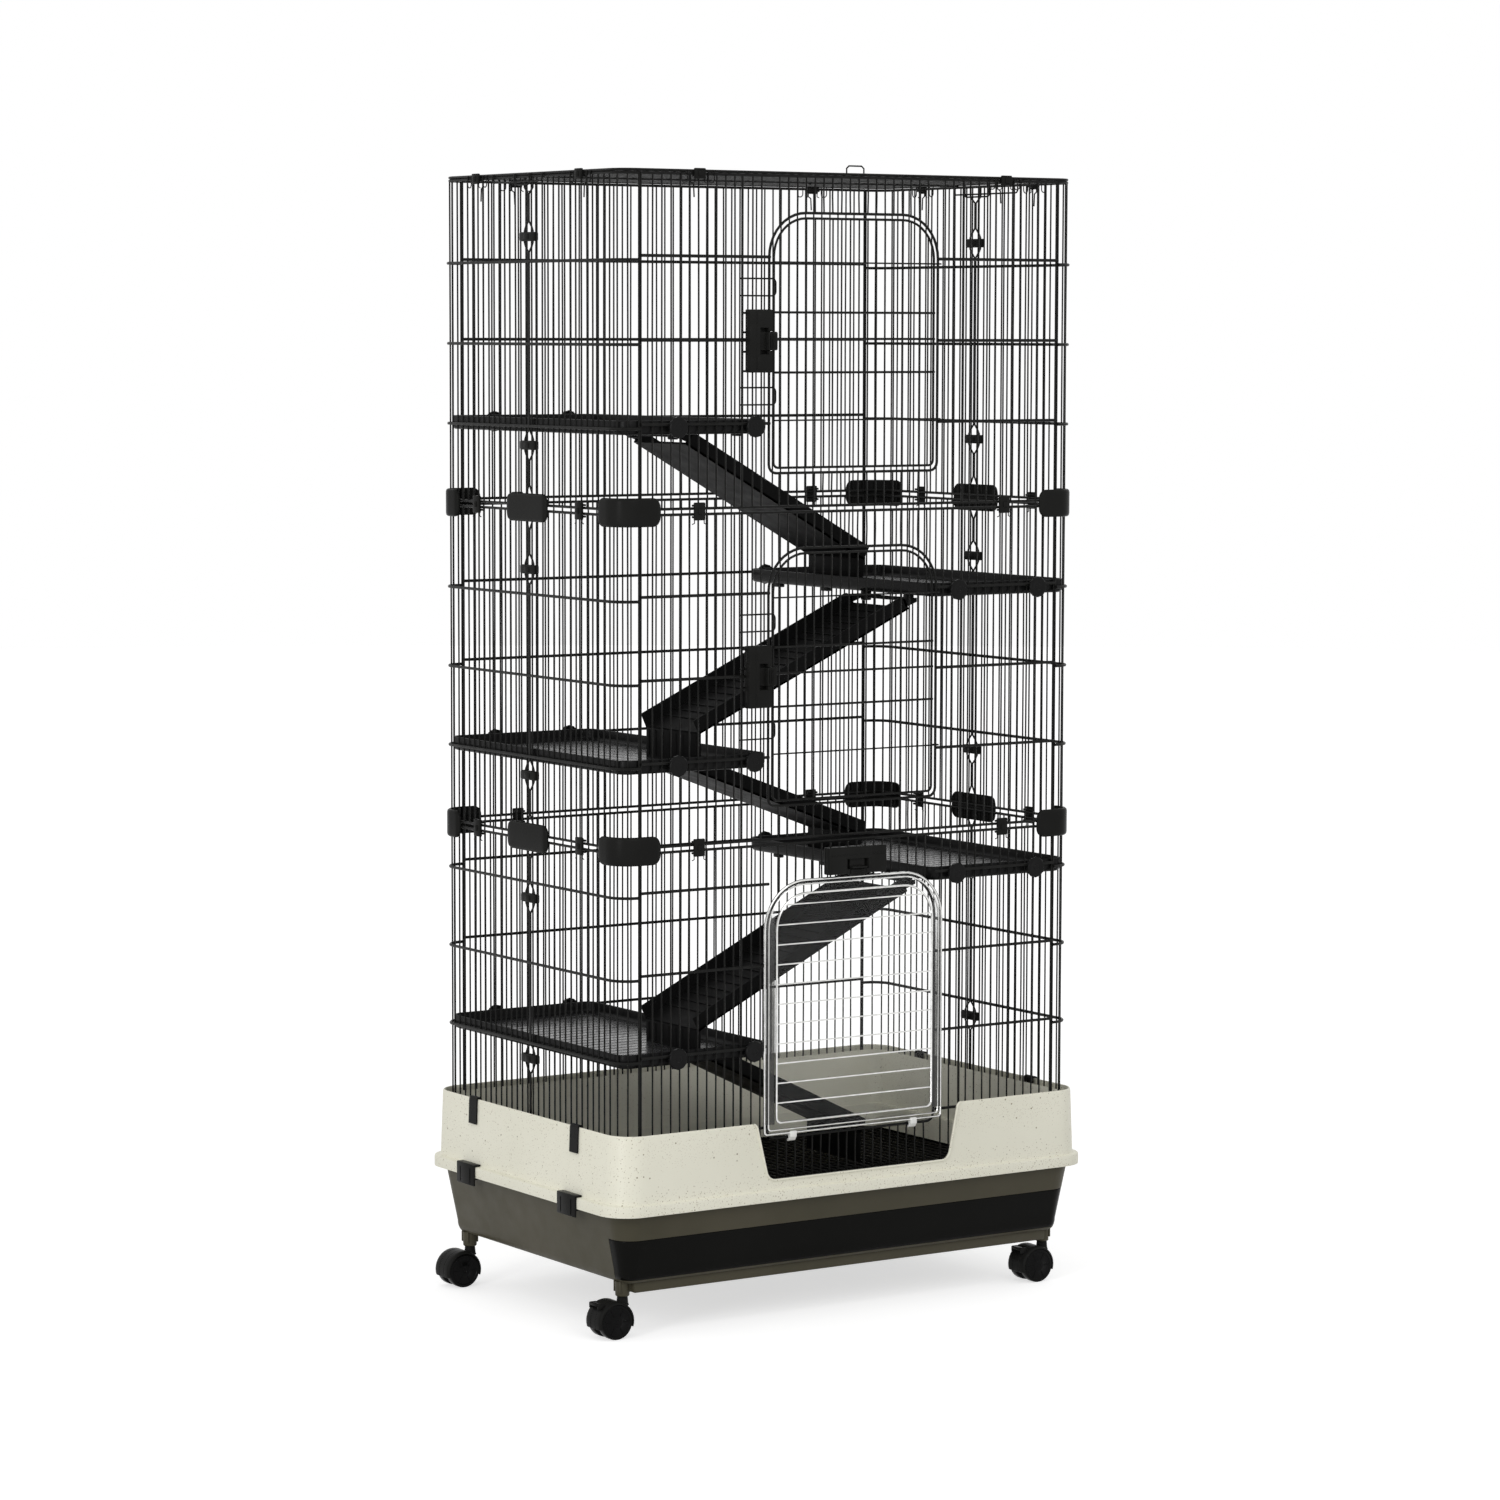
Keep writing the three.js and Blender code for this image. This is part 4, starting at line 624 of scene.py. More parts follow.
def latch(name, centre, along, across, bed, bolt_shift, body, length=88):
    """The latch's housing with its window, and the ribbed bolt that slides in it."""
    def slab(shape, l0, l1, c0, c1, d0, d1, soft=1.0):
        near = centre + along * l0 + across * c0 - Y * d0
        shape.block(near, centre + along * l1 + across * c1 - Y * d1, soft)
    face = bed + 8
    case = Shape()
    slab(case, -length / 2, length / 2, -19.5, 19.5, 0.2, bed, 1.5)
    turn = 1 if bolt_shift > 0 else -1
    for end in (-1, 1):
        slab(case, end * 18, end * length / 2, -19.5, 19.5, bed - 2, face, 2.2)
        slab(case, end * 22, end * (length / 2 - 4), turn * -6.5, turn * 16, face - 1.5, face + 0.5, 1.0)
        slab(case, end * 13.4, end * 20, turn * 12.4, turn * 19.5, bed - 2, face, 1.0)
    slab(case, -24, 24, turn * -19.5, turn * -2, face - 1.6, face + 0.2, 0.6)
    slab(case, -23, 23, turn * -19, turn * -12.3, bed - 2, face - 1, 0.5)
    slab(case, 3 - length / 2, length / 2 - 3, turn * -8.6, turn * -7.8, face - 0.5, face + 0.5, 0.3)
    case.build(f"{name}_case", BLACK, "cage")
    bolt = Shape()
    inner, outer = abs(bolt_shift) - 16.25, abs(bolt_shift) + 16.25
    slab(bolt, -13, 13, turn * inner, turn * 18.5, bed + 0.3, face - 3, 1.4)
    slab(bolt, -13, 13, turn * 12, turn * outer, bed + 0.3, face + 1.2, 2.0)
    slab(bolt, -13, 13, turn * 8.6, turn * 11.4, face - 4, face + 5, 1.3)
    for k in range(3):
        at = 14.2 + k * 3
        slab(bolt, -10, 10, turn * (at - 0.6), turn * (at + 0.6), face, face + 2.2, 0.5)
    bolt.build(f"{name}_bolt", BLACK, body, f"latch_bolt_{body[-1]}")


for tier in (2, 3):
    latch(f"latch_{tier}", V(-166.5, -HALF_D - 0.8, RUNGS[tier][1]), Z, X, 5, 10.75, f"latch_bolt_{tier}")
latch("latch_1", V(0, -HALF_D - 0.8, 655.8), X, Z, 7, -6.25, "latch_bolt_1", 100)

foot, top = 269, 633
back = -HALF_D - 4.05
panel = Shape()
outline = arch(155, foot, top, 0, 70, 5, 14)
inner = arch(150.5, foot + 4.5, top - 4.5, 0, 65.5, 3, 14)
layers = ((inner, 0.6), (outline, 0.0), (outline, 3.0), (inner, 2.4))
panel.ring_strip([[p + Y * (back - d) for p in ring] for ring, d in layers])
panel.build("drop_panel", CLEAR, "drop_door", "drop_door", smooth=30)
grid = Shape()
y = back - 4.4
grid.wire(arch(135, foot + 18, top - 20, y, 50, 8), 1.7, 8, closed=True)
z = foot + 18 + 28.3
while z < top - 26:
    reach = 135
    if z > top - 70:
        reach = 135 - 50 + math.sqrt(max(50 ** 2 - (z - (top - 70)) ** 2, 0))
    grid.wire([V(-reach, y, z), V(reach, y, z)], 1.1, 6)
    z += 28.3
grid.build("drop_grid", CHROME, "drop_door")
# Thin strips at the clear door's upright edges that carry a painted reflection: a grey tint, darker lower
# down, standing in for dark surroundings mirrored in the sheet.
border = Shape()
for side in (-1, 1):
    border.block(V(side * 137.2, back - 3.7, foot + 16), V(side * 152, back - 2.8, 592), 0.4)
border.build("drop_border", PAINTED_REFLECTION, "drop_door")
rim = Shape()
rim.wire(arch(153.4, foot + 1.6, top - 1.6, back - 1.5, 68.4, 4.6, 14), 1.7, 8, closed=True)
rim.wire(arch(147.6, foot + 7.4, top - 7.4, back - 2.7, 62.6, 4.6, 14), 1.2, 8, closed=True)
rim.build("drop_rim", CHROME, "drop_door")
feet = Shape()
collar = [(-6, 3.4), (-6, 5.6), (-5.4, 6.2), (5.4, 6.2), (6, 5.6), (6, 3.4)]
for x in (-105, 105):
    feet.block(V(x - 6, back - 4.6, foot - 6), V(x + 6, back, foot + 4), 1.8)
    feet.turned(collar, V(x, -HALF_D, 264), X, 18, caps=False)
feet.build("drop_feet", WHITE, "drop_door", bevel=0.4)

# --------------------------------------------------
# Roof
# --------------------------------------------------

hx, hy, hw, hd = 60, -60, 120, 105  # the hatch's middle and half sizes
roof = Shape()
roof.wire([p + Z * ROOF_Z for p in rounded(HALF_W, HALF_D, CORNER, 6)], RAIL, 8, closed=True)
roof.wire([p + V(hx, hy, ROOF_Z) for p in rounded(hw, hd, 18, 6)], RAIL, 8, closed=True)
for x in odd_steps(HALF_W - 8):
    if abs(x - hx) < hw - 1:
        runs = [(-HALF_D, hy - hd), (hy + hd, HALF_D)]
    else:
        runs = [(-HALF_D, HALF_D)]
    for a, b in runs:
        roof.wire([V(x, a, ROOF_Z), V(x, b, ROOF_Z)], BAR, 6)
for y in (hy - hd, hy + hd):
    roof.wire([V(-HALF_W, y, ROOF_Z - 2.2), V(HALF_W, y, ROOF_Z - 2.2)], 1.8, 6)
roof.build("roof_wires", WIRE, "cage", "roof_panel")
clips = Shape()
for end in (-1, 1):
    for x in (-CLIP_X, CLIP_X):
        snap_clip(clips, V(x, end * HALF_D, 0), X, V(0, end, 0), 1617, 1632)
    for y in (-CLIP_Y, CLIP_Y):
        snap_clip(clips, V(end * HALF_W, y, 0), Y, V(end, 0, 0), 1617, 1632)
clips.build("roof_clips", BLACK, "cage")
bails = Shape()
for side, spans in ((-1, ((-43, 95, 11), (-8, 34, 15))), (1, ((-101, 59, 15), (-30, 32, 19)))):
    x = side * (HALF_W + 3.4)
    for start, stop, drop in spans:
        foot_z = ROOF_Z - drop
        line = [V(x, start, ROOF_Z), V(x, start, foot_z + 5)]
        line += arc(V(x, start + 5, foot_z + 5), 5, 180, 270, 4, Y, Z)
        line += arc(V(x, stop - 5, foot_z + 5), 5, 270, 360, 4, Y, Z) + [V(x, stop, ROOF_Z)]
        bails.wire(line, 1.3, 6)
for end in (-1, 1):
    for along, out, places in ((X, Y * end, (-CLIP_X, CLIP_X)), (Y, X * end, (-CLIP_Y, CLIP_Y))):
        wall_at = out * (HALF_D if along == X else HALF_W)
        for place in places:
            base = wall_at + along * place + out * 2.6
            for a in (-24, 20):
                first, last = (base + along * (a + shift) + Z * ROOF_Z for shift in (-5, 5))
                bend = arc(base + along * a + Z * 1617, 5, 180, 360, 8, along, Z)
                bails.wire([first] + bend + [last], 0.85, 5)
            jog = [(-12, 1626), (-12, 1613), (-7, 1610), (-6, 1592)]
            bails.wire([base - out * 3.9 + along * a + Z * z for a, z in jog], 1.1, 5)
bails.build("roof_bails", WIRE, "cage")
hatch = Shape()
hatch.wire([p + V(hx, hy, ROOF_Z) for p in rounded(hw - 6, hd - 6, 12, 6)], 1.7, 8, closed=True)
for shift in odd_steps(hw - 8):
    hatch.wire([V(hx + shift, hy - hd + 6, ROOF_Z), V(hx + shift, hy + hd - 6, ROOF_Z)], BAR, 6)
for shift in (-60, 60):
    eye = arc(V(hx + shift, hy + hd, ROOF_Z), 4.2, 180, 500, 14, Y, Z)
    hatch.wire([V(hx + shift, hy + hd - 6, ROOF_Z)] + eye, 1.2, 6)
handle = ((-15, 0), (-15, 12), (-11, 15.5), (11, 15.5), (15, 12), (15, 0))
hatch.wire([V(hx + a, hy - hd + 6, ROOF_Z + rise) for a, rise in handle], 1.2, 6)
hatch.build("hatch_wires", WIRE, "roof_hatch", "roof_hatch")

# --------------------------------------------------
# Base
# --------------------------------------------------


def level(half_x, half_y, radius, z, steps=10):
    """A rounded rectangle at a height."""
    return [p + Z * z for p in rounded(half_x, half_y, radius, steps)]


# Skirt: flange, leaning wall and inner ledge as one ring-shaped shell.
skirt = Shape()
section = [
    (414, 272, 46, 178), (414, 272, 46, 191.5), (413.2, 271.2, 45, 193.4), (411.5, 269.5, 44, 194),
    (406, 268.6, 42, 194), (404.6, 267.4, 41, 194.8), (404, 267, 41, 197), (401.2, 264.2, 40, 288.5),
    (400.4, 263.4, 39.5, 290.4), (399.6, 262.6, 39, 291), (398.8, 261.8, 38.5, 290.4),
    (398.2, 261.2, 38, 288.5), (400.6, 263.6, 38, 203), (377, 240, 22, 201.7), (377, 240, 22, 198.7),
    (401, 264, 38, 198.2),
    (401, 264, 38, 191), (411, 269, 43, 191), (411, 269, 43, 178),
]
skirt.ring_strip([level(*s) for s in section], closed=True)
skirt_piece = skirt.loose("skirt_shell")


def cutaway(y):
    """The low doorway's edge, from its rounded left shoulder down, along and up to the right one."""
    left = arc(V(-183, y, 282), 9, 90, 0, 5, X, Z) + arc(V(-144.5, y, 224), 16, 193, 270, 8, X, Z)
    return left + [V(-p.x, y, p.z) for p in reversed(left)]


tool = Shape()
outline = [V(183, -290, 296), V(-183, -290, 296)] + cutaway(-290)
tool.ring_strip([outline, [p + Y * 44 for p in outline]])
cut_by(skirt_piece, tool.loose("skirt_doorway"))
finish_piece(skirt_piece, PALE, "cage", ["skirt"], 0.8, 35)
# A thick rolled lip follows the cut-out's edge.
lip = Shape()
edge_line = cutaway(0)[1:-1]
for p in edge_line:
    p.y = -(264.4 + (291 - p.z) * 3 / 97)
lip.wire(edge_line, 1.7, 8)
lip.build("skirt_lip", PALE, "cage")
liner = Shape()
liner.ring_strip([level(376.9, 239.9, 22, 200), level(375.4, 238.4, 21, 200), level(375.4, 238.4, 21, 165.4),
                  level(376.9, 239.9, 22, 165.4)], closed=True)
liner.build("skirt_liner", PALE, "cage", smooth=35)
# Behind the wires the back and side walls rise to the rim; the front stays open.
inside = [(V(-385, -236, 0), -X)]
for centre, start in ((V(-361, 216.5, 0), 180), (V(361, 216.5, 0), 90)):
    inside += [(p, (p - centre).normalized()) for p in arc(centre, 24, start, start - 90, 8)]
inside.append((V(385, -236, 0), X))
inner_wall = Shape()
section = ((166, 0), (285, 0), (286, 0.6), (285, 1.2), (166, 1.2))
inner_wall.ring_strip([[p + Z * z - n * d for z, d in section] for p, n in inside])
inner_wall.build("skirt_inner_wall", PALE, "cage", smooth=35)


def tub_half(z, inset=0.0):
    """Half the tub's width at a height: it tapers down to a rounded foot."""
    taper = 19 * (190.7 - max(z, 95)) / 95.7
    if z < 95:
        t = (95 - z) / 17
        taper += 9 * (1 - math.sqrt(max(1 - t * t, 0)))
    return 400 - taper - inset


def tub_ring(z, inset=0.0, steps=10):
    half = tub_half(z, inset)
    return level(half, half - 138, max(40 - (400 - half), 6), z, steps)


heights = [78, 78.6, 80, 82.5, 86, 90, 95, 118, 141, 165, 190.7]
tub = Shape()
outer = [tub_ring(z) for z in heights]
inner = [tub_ring(z, 3) for z in reversed([82, 84, 88, 95, 141, 190.7])]
tub.ring_strip(outer + inner)
tub_piece = tub.loose("tub_shell")
tool = Shape()
tool.block(V(-420, -300, 82.7), V(420, -212.7, 141.3), 0.1, 1)
cut_by(tub_piece, tool.loose("drawer_mouth"))
finish_piece(tub_piece, TAUPE, "cage", ["base_tub"], 0.6, 35)
trim = Shape()
trim.ring_strip([level(409.5, 267.5, 44, 185.7), level(409.5, 267.5, 44, 190.6), level(398, 260, 38, 190.6),
                 level(398, 260, 38, 185.7)], closed=True)
trim.ring_strip([level(390.5, 252.5, 32, 153.7), level(390.5, 252.5, 32, 157.7), level(379, 241, 24, 157.7),
                 level(379, 241, 24, 153.7)], closed=True)
trim.block(V(-360, -233, 63), V(360, -219, 80), 3)
for x in (-300, 300):
    trim.block(V(x - 5, -200, 80), V(x + 5, 213, 82.7), 1)
for sx in (-1, 1):
    for sy in (-1, 1):
        x, y = sx * CASTER_X, sy * CASTER_Y
        trim.turned([(0, 6), (0, 9.2), (1, 10), (21, 10.6), (21, 6)], V(x, y, 58), Z, 24)
        for k in range(4):
            a = math.radians(45 + 90 * k)
            p = V(x + 11 * math.cos(a), y + 11 * math.sin(a), 0)
            trim.block(p + V(-1.5, -1.5, 64), p + V(1.5, 1.5, 80), 0.8)
trim.build("tub_trim", TAUPE, "cage", smooth=35)

# Drawer: a shell that wraps the tub's front corners, and the pan behind it.
drawer = Shape()
shell = [(83, 0.8), (83.6, 0.25)] + [(z, 0) for z in (85, 88, 92, 95, 110, 125, 138)]
shell += [(140.2, 0.25), (141, 0.8)] + [(z, 3) for z in (138, 125, 110, 95, 88, 86)]
drawer.ring_strip([tub_ring(z, inset) for z, inset in shell])
drawer_piece = drawer.loose("drawer_shell")
tool = Shape()
tool.block(V(-430, -213, 60), V(430, 300, 160), 0.1, 1)
cut_by(drawer_piece, tool.loose("drawer_back"))
finish_piece(drawer_piece, GLOSS, "drawer", ["drawer"], 0.5, 35)
pan = Shape()


def pan_ring(grow, z):
    return [p + V(0, -10, z) for p in rounded(350 - grow, 218 - grow, max(14 - grow, 4), 5)]


pan.ring_strip([pan_ring(3, 83), pan_ring(0.8, 84), pan_ring(0, 87), pan_ring(0, 121), pan_ring(2.5, 121),
                pan_ring(2.5, 88), pan_ring(4, 86), pan_ring(7, 85.5)])
pan.build("drawer_pan", GLOSS, "drawer", smooth=35)

# Floor: crossed wires in a rim.
floor = Shape()
floor.wire([p + Z * 161 for p in rounded(387, 249, 30, 8)], 2.9, 8, closed=True)
for x in odd_steps(384):
    reach = 249 if abs(x) < 357 else 249 - 30 + math.sqrt(max(30 ** 2 - (abs(x) - 357) ** 2, 0))
    floor.wire([V(x, -reach, 162.6), V(x, reach, 162.6)], 1.1, 5)
for y in odd_steps(246):
    reach = 387 if abs(y) < 219 else 387 - 30 + math.sqrt(max(30 ** 2 - (abs(y) - 219) ** 2, 0))
    floor.wire([V(-reach, y, 160.4), V(reach, y, 160.4)], 1.1, 5)
floor.build("floor_wires", WIRE, "cage", "wire_floor")

# Each flange clip: a face, a hook over the flange and one under it.
clip_parts = ((414.3, 417.3, 25, 166, 197.3, 1.3), (405.3, 416.5, 25, 194.3, 197.3, 1.2),
              (400.3, 416.5, 22, 174.7, 177.7, 1.2))
for name, side in (("left", -1), ("right", 1)):
    for end_name, end in (("front", -1), ("back", 1)):
        clip = Shape()
        y = end * CLIP_Y
        for near, far, half, low, high, soft in clip_parts:
            clip.block(V(side * near, y - half, low), V(side * far, y + half, high), soft)
        for shift in (-14, 14):
            clip.block(V(side * 413, y + shift - 2, 168), V(side * 417.3, y + shift + 2, 192), 0.9)
        clip.build(f"clip_{end_name}_{name}", BLACK, f"flange_clip_{end_name}_{name}",
                   f"flange_clip_{end_name}_{name}")

# --------------------------------------------------
# Shelves and ramps
# --------------------------------------------------

SHELVES = {1: (-1, 396), 2: (1, 628), 3: (-1, 808), 4: (1, 1040), 5: (-1, 1278)}
RAMP_FOOT = {5: 62, 4: 65, 3: 62, 2: 54, 1: 67}
KNOB = [(0, 9), (0, 13.8), (0.8, 14.7), (4.2, 14.7), (5.4, 13.6), (5.9, 11), (5.2, 8.5), (5.2, 5), (6.2, 3.6),
        (6.2, 0.4)]
for k, (side, rung) in SHELVES.items():
    knob_z = rung - 3.3
    floor_z, top_z = knob_z - 10, knob_z + 10
    mid_x = side * (385.4 - 123)

    def ring(z, inset, steps=8):
        return [p + V(mid_x, 0, z) for p in rounded(123 - inset, 242.2 - inset, max(20 - inset, 3), steps)]

    tray = Shape()
    section = [(floor_z, 5), (floor_z + 0.8, 3), (floor_z + 3, 1.2), (floor_z + 6, 0.3), (floor_z + 10, 0),
               (top_z - 1.6, 0), (top_z - 0.5, 0.5), (top_z, 1.5), (top_z - 0.5, 2.6), (top_z - 1.8, 3),
               (floor_z + 9, 3), (floor_z + 6, 3.6), (floor_z + 4, 5.5), (floor_z + 3.1, 8)]
    tray.ring_strip([ring(z, inset) for z, inset in section])
    for x in (-300, -172) if side < 0 else (180, 322):
        for end in (-1, 1):
            d = Y * end
            tray.turned([(0, 2.4), (12, 2.4)], V(x, end * 241, knob_z), d, 12)
            tray.turned(KNOB, V(x, end * 249.9, knob_z), d, 28)
            for j in range(12):
                a = math.radians(30 * j)
                p = V(x + 14.4 * math.cos(a), end * 252.4, knob_z + 14.4 * math.sin(a))
                tray.block(p - V(0.9, 2, 0.9), p + V(0.9, 2, 0.9), 0.5)
    hinge_x = side * 147.4
    for y in (40, 165):
        tray.block(V(hinge_x - 4, side * y - 9, floor_z - 5), V(hinge_x + 4, side * y + 9, floor_z + 1), 1.2)
    ramp_y = -15 if side < 0 else -190
    for y in (ramp_y + 17, ramp_y + 125):
        tray.block(V(hinge_x - 7, y - 5, floor_z - 13.5), V(hinge_x + 7, y + 5, floor_z + 1), 2)
    tray.build(f"shelf_tray_{k}", SHELF, "cage", f"shelf_{k}", smooth=35)
    mat = Shape()
    mat.ring_strip([ring(floor_z + 3.0, 7), ring(floor_z + 3.6, 7.4), ring(floor_z + 3.7, 8.4)])
    for j in range(-10, 11):
        rib = V(mid_x, j * 21, floor_z)
        mat.block(rib + V(-112, -0.9, 3.4), rib + V(112, 0.9, 4.1), 0.3, 1)
    mat.build(f"shelf_floor_{k}", FLOOR, "cage", smooth=35)

    # Ramp in its own slope: d along it, h square to it.
    down = -side
    landing = SHELVES[k - 1][1] - 13.3 + 3 if k > 1 else 164
    start = V(side * 139.4 + down * 3, 0, floor_z - 20)
    end = V(side * 139.4 + down * (317 if side < 0 else 364), 0, landing + RAMP_FOOT[k] - 22)
    along = (end - start).normalized()
    length = (end - start).length
    up = V(-along.z * down, 0, along.x * down)

    def at(d, h, y):
        return V(start.x, y, start.z) + along * d + up * h

    def slab(shape, d0, d1, h0, h1, y0, y1):
        corners = [(d0, h0), (d1, h0), (d1, h1), (d0, h1)]
        shape.ring_strip([[at(d, h, y) for d, h in corners] for y in (y0, y1)])

    ramp = Shape()
    y0, y1 = ramp_y, ramp_y + 142
    slab(ramp, 0, length, 0, 3, y0, y1)
    profile = [(0, 0), (length, 0), (length, 20), (length - 1, 21.5), (length - 3, 22), (9, 22), (5, 21),
               (0, 15)]
    for a, b in ((y0, y0 + 3), (y1 - 3, y1)):
        ramp.ring_strip([[at(d, h, y) for d, h in profile] for y in (a, b)])
        ear_x = hinge_x - down * 3
        ramp.ring_strip([[V(ear_x, y, floor_z - 10), at(4, 5, y), at(4, 19, y), V(ear_x, y, floor_z - 4)]
                         for y in (a, b)])
    ramp.turned([(0, 3), (140, 3)], V(hinge_x, y0 + 1, floor_z - 7), Y, 16)
    ramp.block(V(end.x - down * 3, y0, landing + 0.4), V(end.x, y1, end.z + 3), 1)
    for j in range(8):
        y = y0 + 8 + j * 18
        ramp.block(V(end.x, y - 1.2, landing + 4), V(end.x + down, y + 1.2, end.z - 2), 0.4, 1)
    for j in range(int((length - 30) // 19)):
        d = 22 + j * 19
        slab(ramp, d - 1.6, d + 1.6, 2.6, 4.6, y0 + 2.5, y1 - 2.5)
    ramp.build(f"ramp_way_{k}", RAMP, f"ramp_{k}", f"ramp_{k}", bevel=0.5, smooth=35)

# --------------------------------------------------
# Casters
# --------------------------------------------------

TYRE = [(7, 4), (7, 23.4), (7.8, 24.6), (9, 25), (18, 25), (19.4, 24.4), (20, 23.2), (20, 20.6), (19.2, 19.8),
        (19.2, 9.5), (19.8, 8.6), (20, 7.5), (20, 3.2), (19.4, 2.6), (19.4, 0.2)]
SPOKE = ((-1.1, 0), (1.1, 0), (0.8, 1), (-0.8, 1))
for end_name, sy in (("front", -1), ("back", 1)):
    for name, sx in (("left", -1), ("right", 1)):
        who = f"{end_name}_{name}"
        stem = V(sx * CASTER_X, sy * CASTER_Y, 0)
        axle = V(stem.x - 20, stem.y, 25)
        hood = Shape()
        # A hood over each wheel: arcs of a shell, closed on top and drawn in towards the axle at the sides.
        for side in (-1, 1):
            rings = []
            for along, radius in ((6.6, 28.8), (15, 29), (18.6, 28.2), (20, 26.4)):
                at_side = axle + Y * (side * along)
                rings.append(arc(at_side, radius, -18, 198, 22, X, Z)
                             + arc(at_side, min(26.4, radius - 1.6), 198, -18, 22, X, Z))
            hood.ring_strip(rings)
        plate = arc(axle, 28.8, -18, 198, 22, X, Z) + [axle + V(-14, 0, -14), axle + V(14, 0, -14)]
        hood.ring_strip([[p + Y * y for p in plate] for y in (-6.3, 6.3)])
        neck = [(0, 9.5), (3, 8.4), (10, 7.8), (13, 7.4), (13, 5.5), (32.7, 5.5)]
        hood.turned(neck, V(stem.x, stem.y, 44.7), Z, 20)
        if end_name == "front":
            for side in (-1, 1):
                near, far = axle.y + side * 9.5, axle.y + side * 13
                hood.block(V(axle.x - 27.5, near, 44), V(axle.x - 16, far, 52.8), 1.4)
        hood.build(f"hood_{who}", BLACK, f"caster_{who}", f"caster_{who}", bevel=0.5, smooth=40)
        wheels = Shape()
        for side in (-1, 1):
            wheels.turned(TYRE, axle, Y * side, 36)
            for j in range(6):
                a = math.radians(60 * j)
                d = X * math.cos(a) + Z * math.sin(a)
                t = X * -math.sin(a) + Z * math.cos(a)
                base = axle + Y * (side * 18.8)
                wheels.ring_strip([[base + d * reach + t * w + Y * (side * h) for w, h in SPOKE]
                                   for reach in (8.5, 20.2)])
        wheels.turned([(-13, 2.9), (13, 2.9)], axle, Y, 16)
        wheels.build(f"wheel_pair_{who}", WHEEL, f"wheels_{who}", f"wheels_{who}", smooth=35)
        if end_name == "front":
            lever = Shape()
            pin = V(axle.x - 24, axle.y, 50)
            lever.turned([(-12.5, 2.5), (12.5, 2.5)], pin, Y, 14)
            lever.block(pin + V(-4, -9, -1.5), pin + V(4, 9, 2.6), 1.2)
            lever.build(f"lever_{who}", BLACK, f"brake_lever_{who}", f"brake_lever_{who}")

# --------------------------------------------------
# Light and camera
# --------------------------------------------------


def seen_directly(tree):
    """One for rays from the camera, from a mirror-like surface or through clear sheet, nought otherwise."""
    path = tree.nodes.new("ShaderNodeLightPath")
    either = path.outputs["Is Camera Ray"]
    for kind in ("Is Glossy Ray", "Is Transmission Ray"):
        most = tree.nodes.new("ShaderNodeMath")
        most.operation = "MAXIMUM"
        tree.links.new(either, most.inputs[0])
        tree.links.new(path.outputs[kind], most.inputs[1])
        either = most.outputs[0]
    return either


world = bpy.data.worlds.new("studio")
bpy.context.scene.world = world
world.use_nodes = True
tree = world.node_tree
tree.nodes.clear()
out = tree.nodes.new("ShaderNodeOutputWorld")
shade = tree.nodes.new("ShaderNodeMixShader")
seen = tree.nodes.new("ShaderNodeBackground")
seen.inputs["Color"].default_value = (1, 1, 1, 1)
seen.inputs["Strength"].default_value = 1.0
light = tree.nodes.new("ShaderNodeBackground")
place = tree.nodes.new("ShaderNodeTexCoord")
split = tree.nodes.new("ShaderNodeSeparateXYZ")
fade = tree.nodes.new("ShaderNodeMapRange")
fade.inputs["From Min"].default_value = -0.9
fade.inputs["From Max"].default_value = 0.9
fade.inputs["To Min"].default_value = 0.5
fade.inputs["To Max"].default_value = 1.0
tree.links.new(place.outputs["Generated"], split.inputs[0])
tree.links.new(split.outputs["Z"], fade.inputs["Value"])
tree.links.new(fade.outputs["Result"], light.inputs["Strength"])
tree.links.new(seen_directly(tree), shade.inputs[0])
tree.links.new(light.outputs[0], shade.inputs[1])
tree.links.new(seen.outputs[0], shade.inputs[2])
tree.links.new(shade.outputs[0], out.inputs["Surface"])

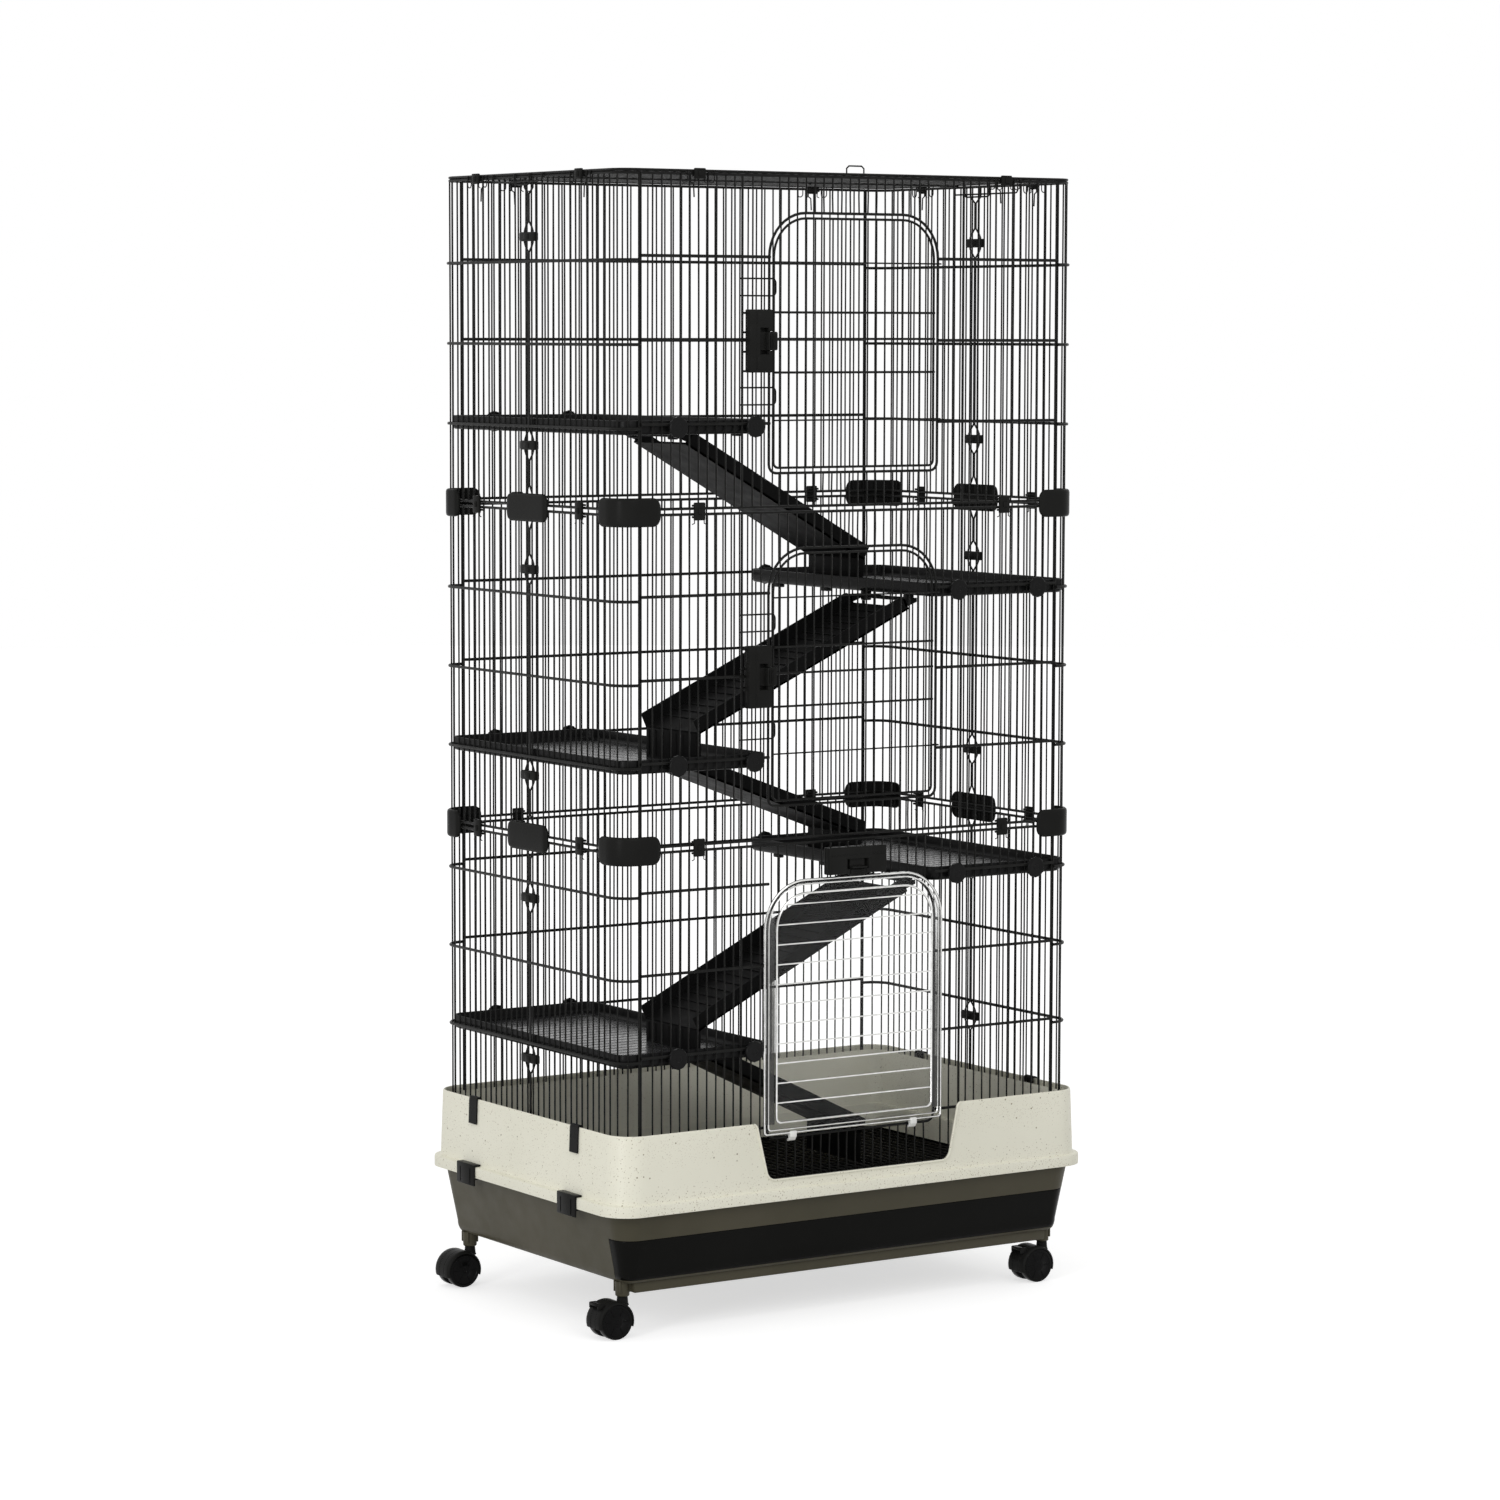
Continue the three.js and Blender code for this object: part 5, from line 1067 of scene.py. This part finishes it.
# A plain pale floor. Seen directly it glows a little, so that it reads as white and still takes the shadow.
floor_mesh = bpy.data.meshes.new("studio_floor")
floor_mesh.from_pydata([p * 14000 * MM for p in arc(Vector(), 1, 0, 354, 59)], [], [tuple(range(60))])
studio_floor = bpy.data.objects.new("studio_floor", floor_mesh)
bpy.context.collection.objects.link(studio_floor)
floor_paint = Nodes("floor_paint", Roughness=0.7, Specular_IOR_Level=0.0)
floor_paint.vary("Base Color", floor_paint.noise(2, 3), 0.62, 0.64)
glow = floor_paint.tree.nodes.new("ShaderNodeEmission")
glow.inputs["Strength"].default_value = 0.62
both = floor_paint.tree.nodes.new("ShaderNodeAddShader")
chosen = floor_paint.tree.nodes.new("ShaderNodeMixShader")
floor_paint.join(floor_paint.bsdf, "BSDF", both, 0)
floor_paint.join(glow, "Emission", both, 1)
floor_paint.tree.links.new(seen_directly(floor_paint.tree), chosen.inputs[0])
floor_paint.join(floor_paint.bsdf, "BSDF", chosen, 1)
floor_paint.join(both, "Shader", chosen, 2)
floor_paint.join(chosen, "Shader", floor_paint.out, "Surface")
floor_mesh.materials.append(floor_paint.material)


def area(name, where, aim, size, watts):
    lamp = bpy.data.lights.new(name, "AREA")
    lamp.shape = "RECTANGLE"
    lamp.size, lamp.size_y = size
    lamp.energy = watts
    made = bpy.data.objects.new(name, lamp)
    made.location = where
    made.rotation_euler = (Vector(aim) - Vector(where)).to_track_quat("-Z", "Y").to_euler()
    bpy.context.collection.objects.link(made)


area("key", (-4.5, -2.0, 1.9), (0, 0, 0.9), (0.7, 3.2), 62)
area("fill", (-0.4, -4.8, 3.2), (0, 0, 0.7), (3.0, 2.0), 34)

camera = bpy.data.cameras.new("camera")
camera.lens = 111.33
camera.sensor_width = 36
camera.clip_end = 100
eye = bpy.data.objects.new("camera", camera)
eye.location = (-3.7545, -5.6728, 1.4089)
yaw, pitch, roll = math.radians(33.4), math.radians(5.17), math.radians(0.12)
forward = Vector((math.sin(yaw) * math.cos(pitch), math.cos(yaw) * math.cos(pitch), -math.sin(pitch)))
turn = forward.to_track_quat("-Z", "Y") @ Matrix.Rotation(roll, 4, "Z").to_quaternion()
eye.rotation_euler = turn.to_euler()
bpy.context.collection.objects.link(eye)
bpy.context.scene.camera = eye

bpy.context.scene.view_settings.view_transform = "Standard"
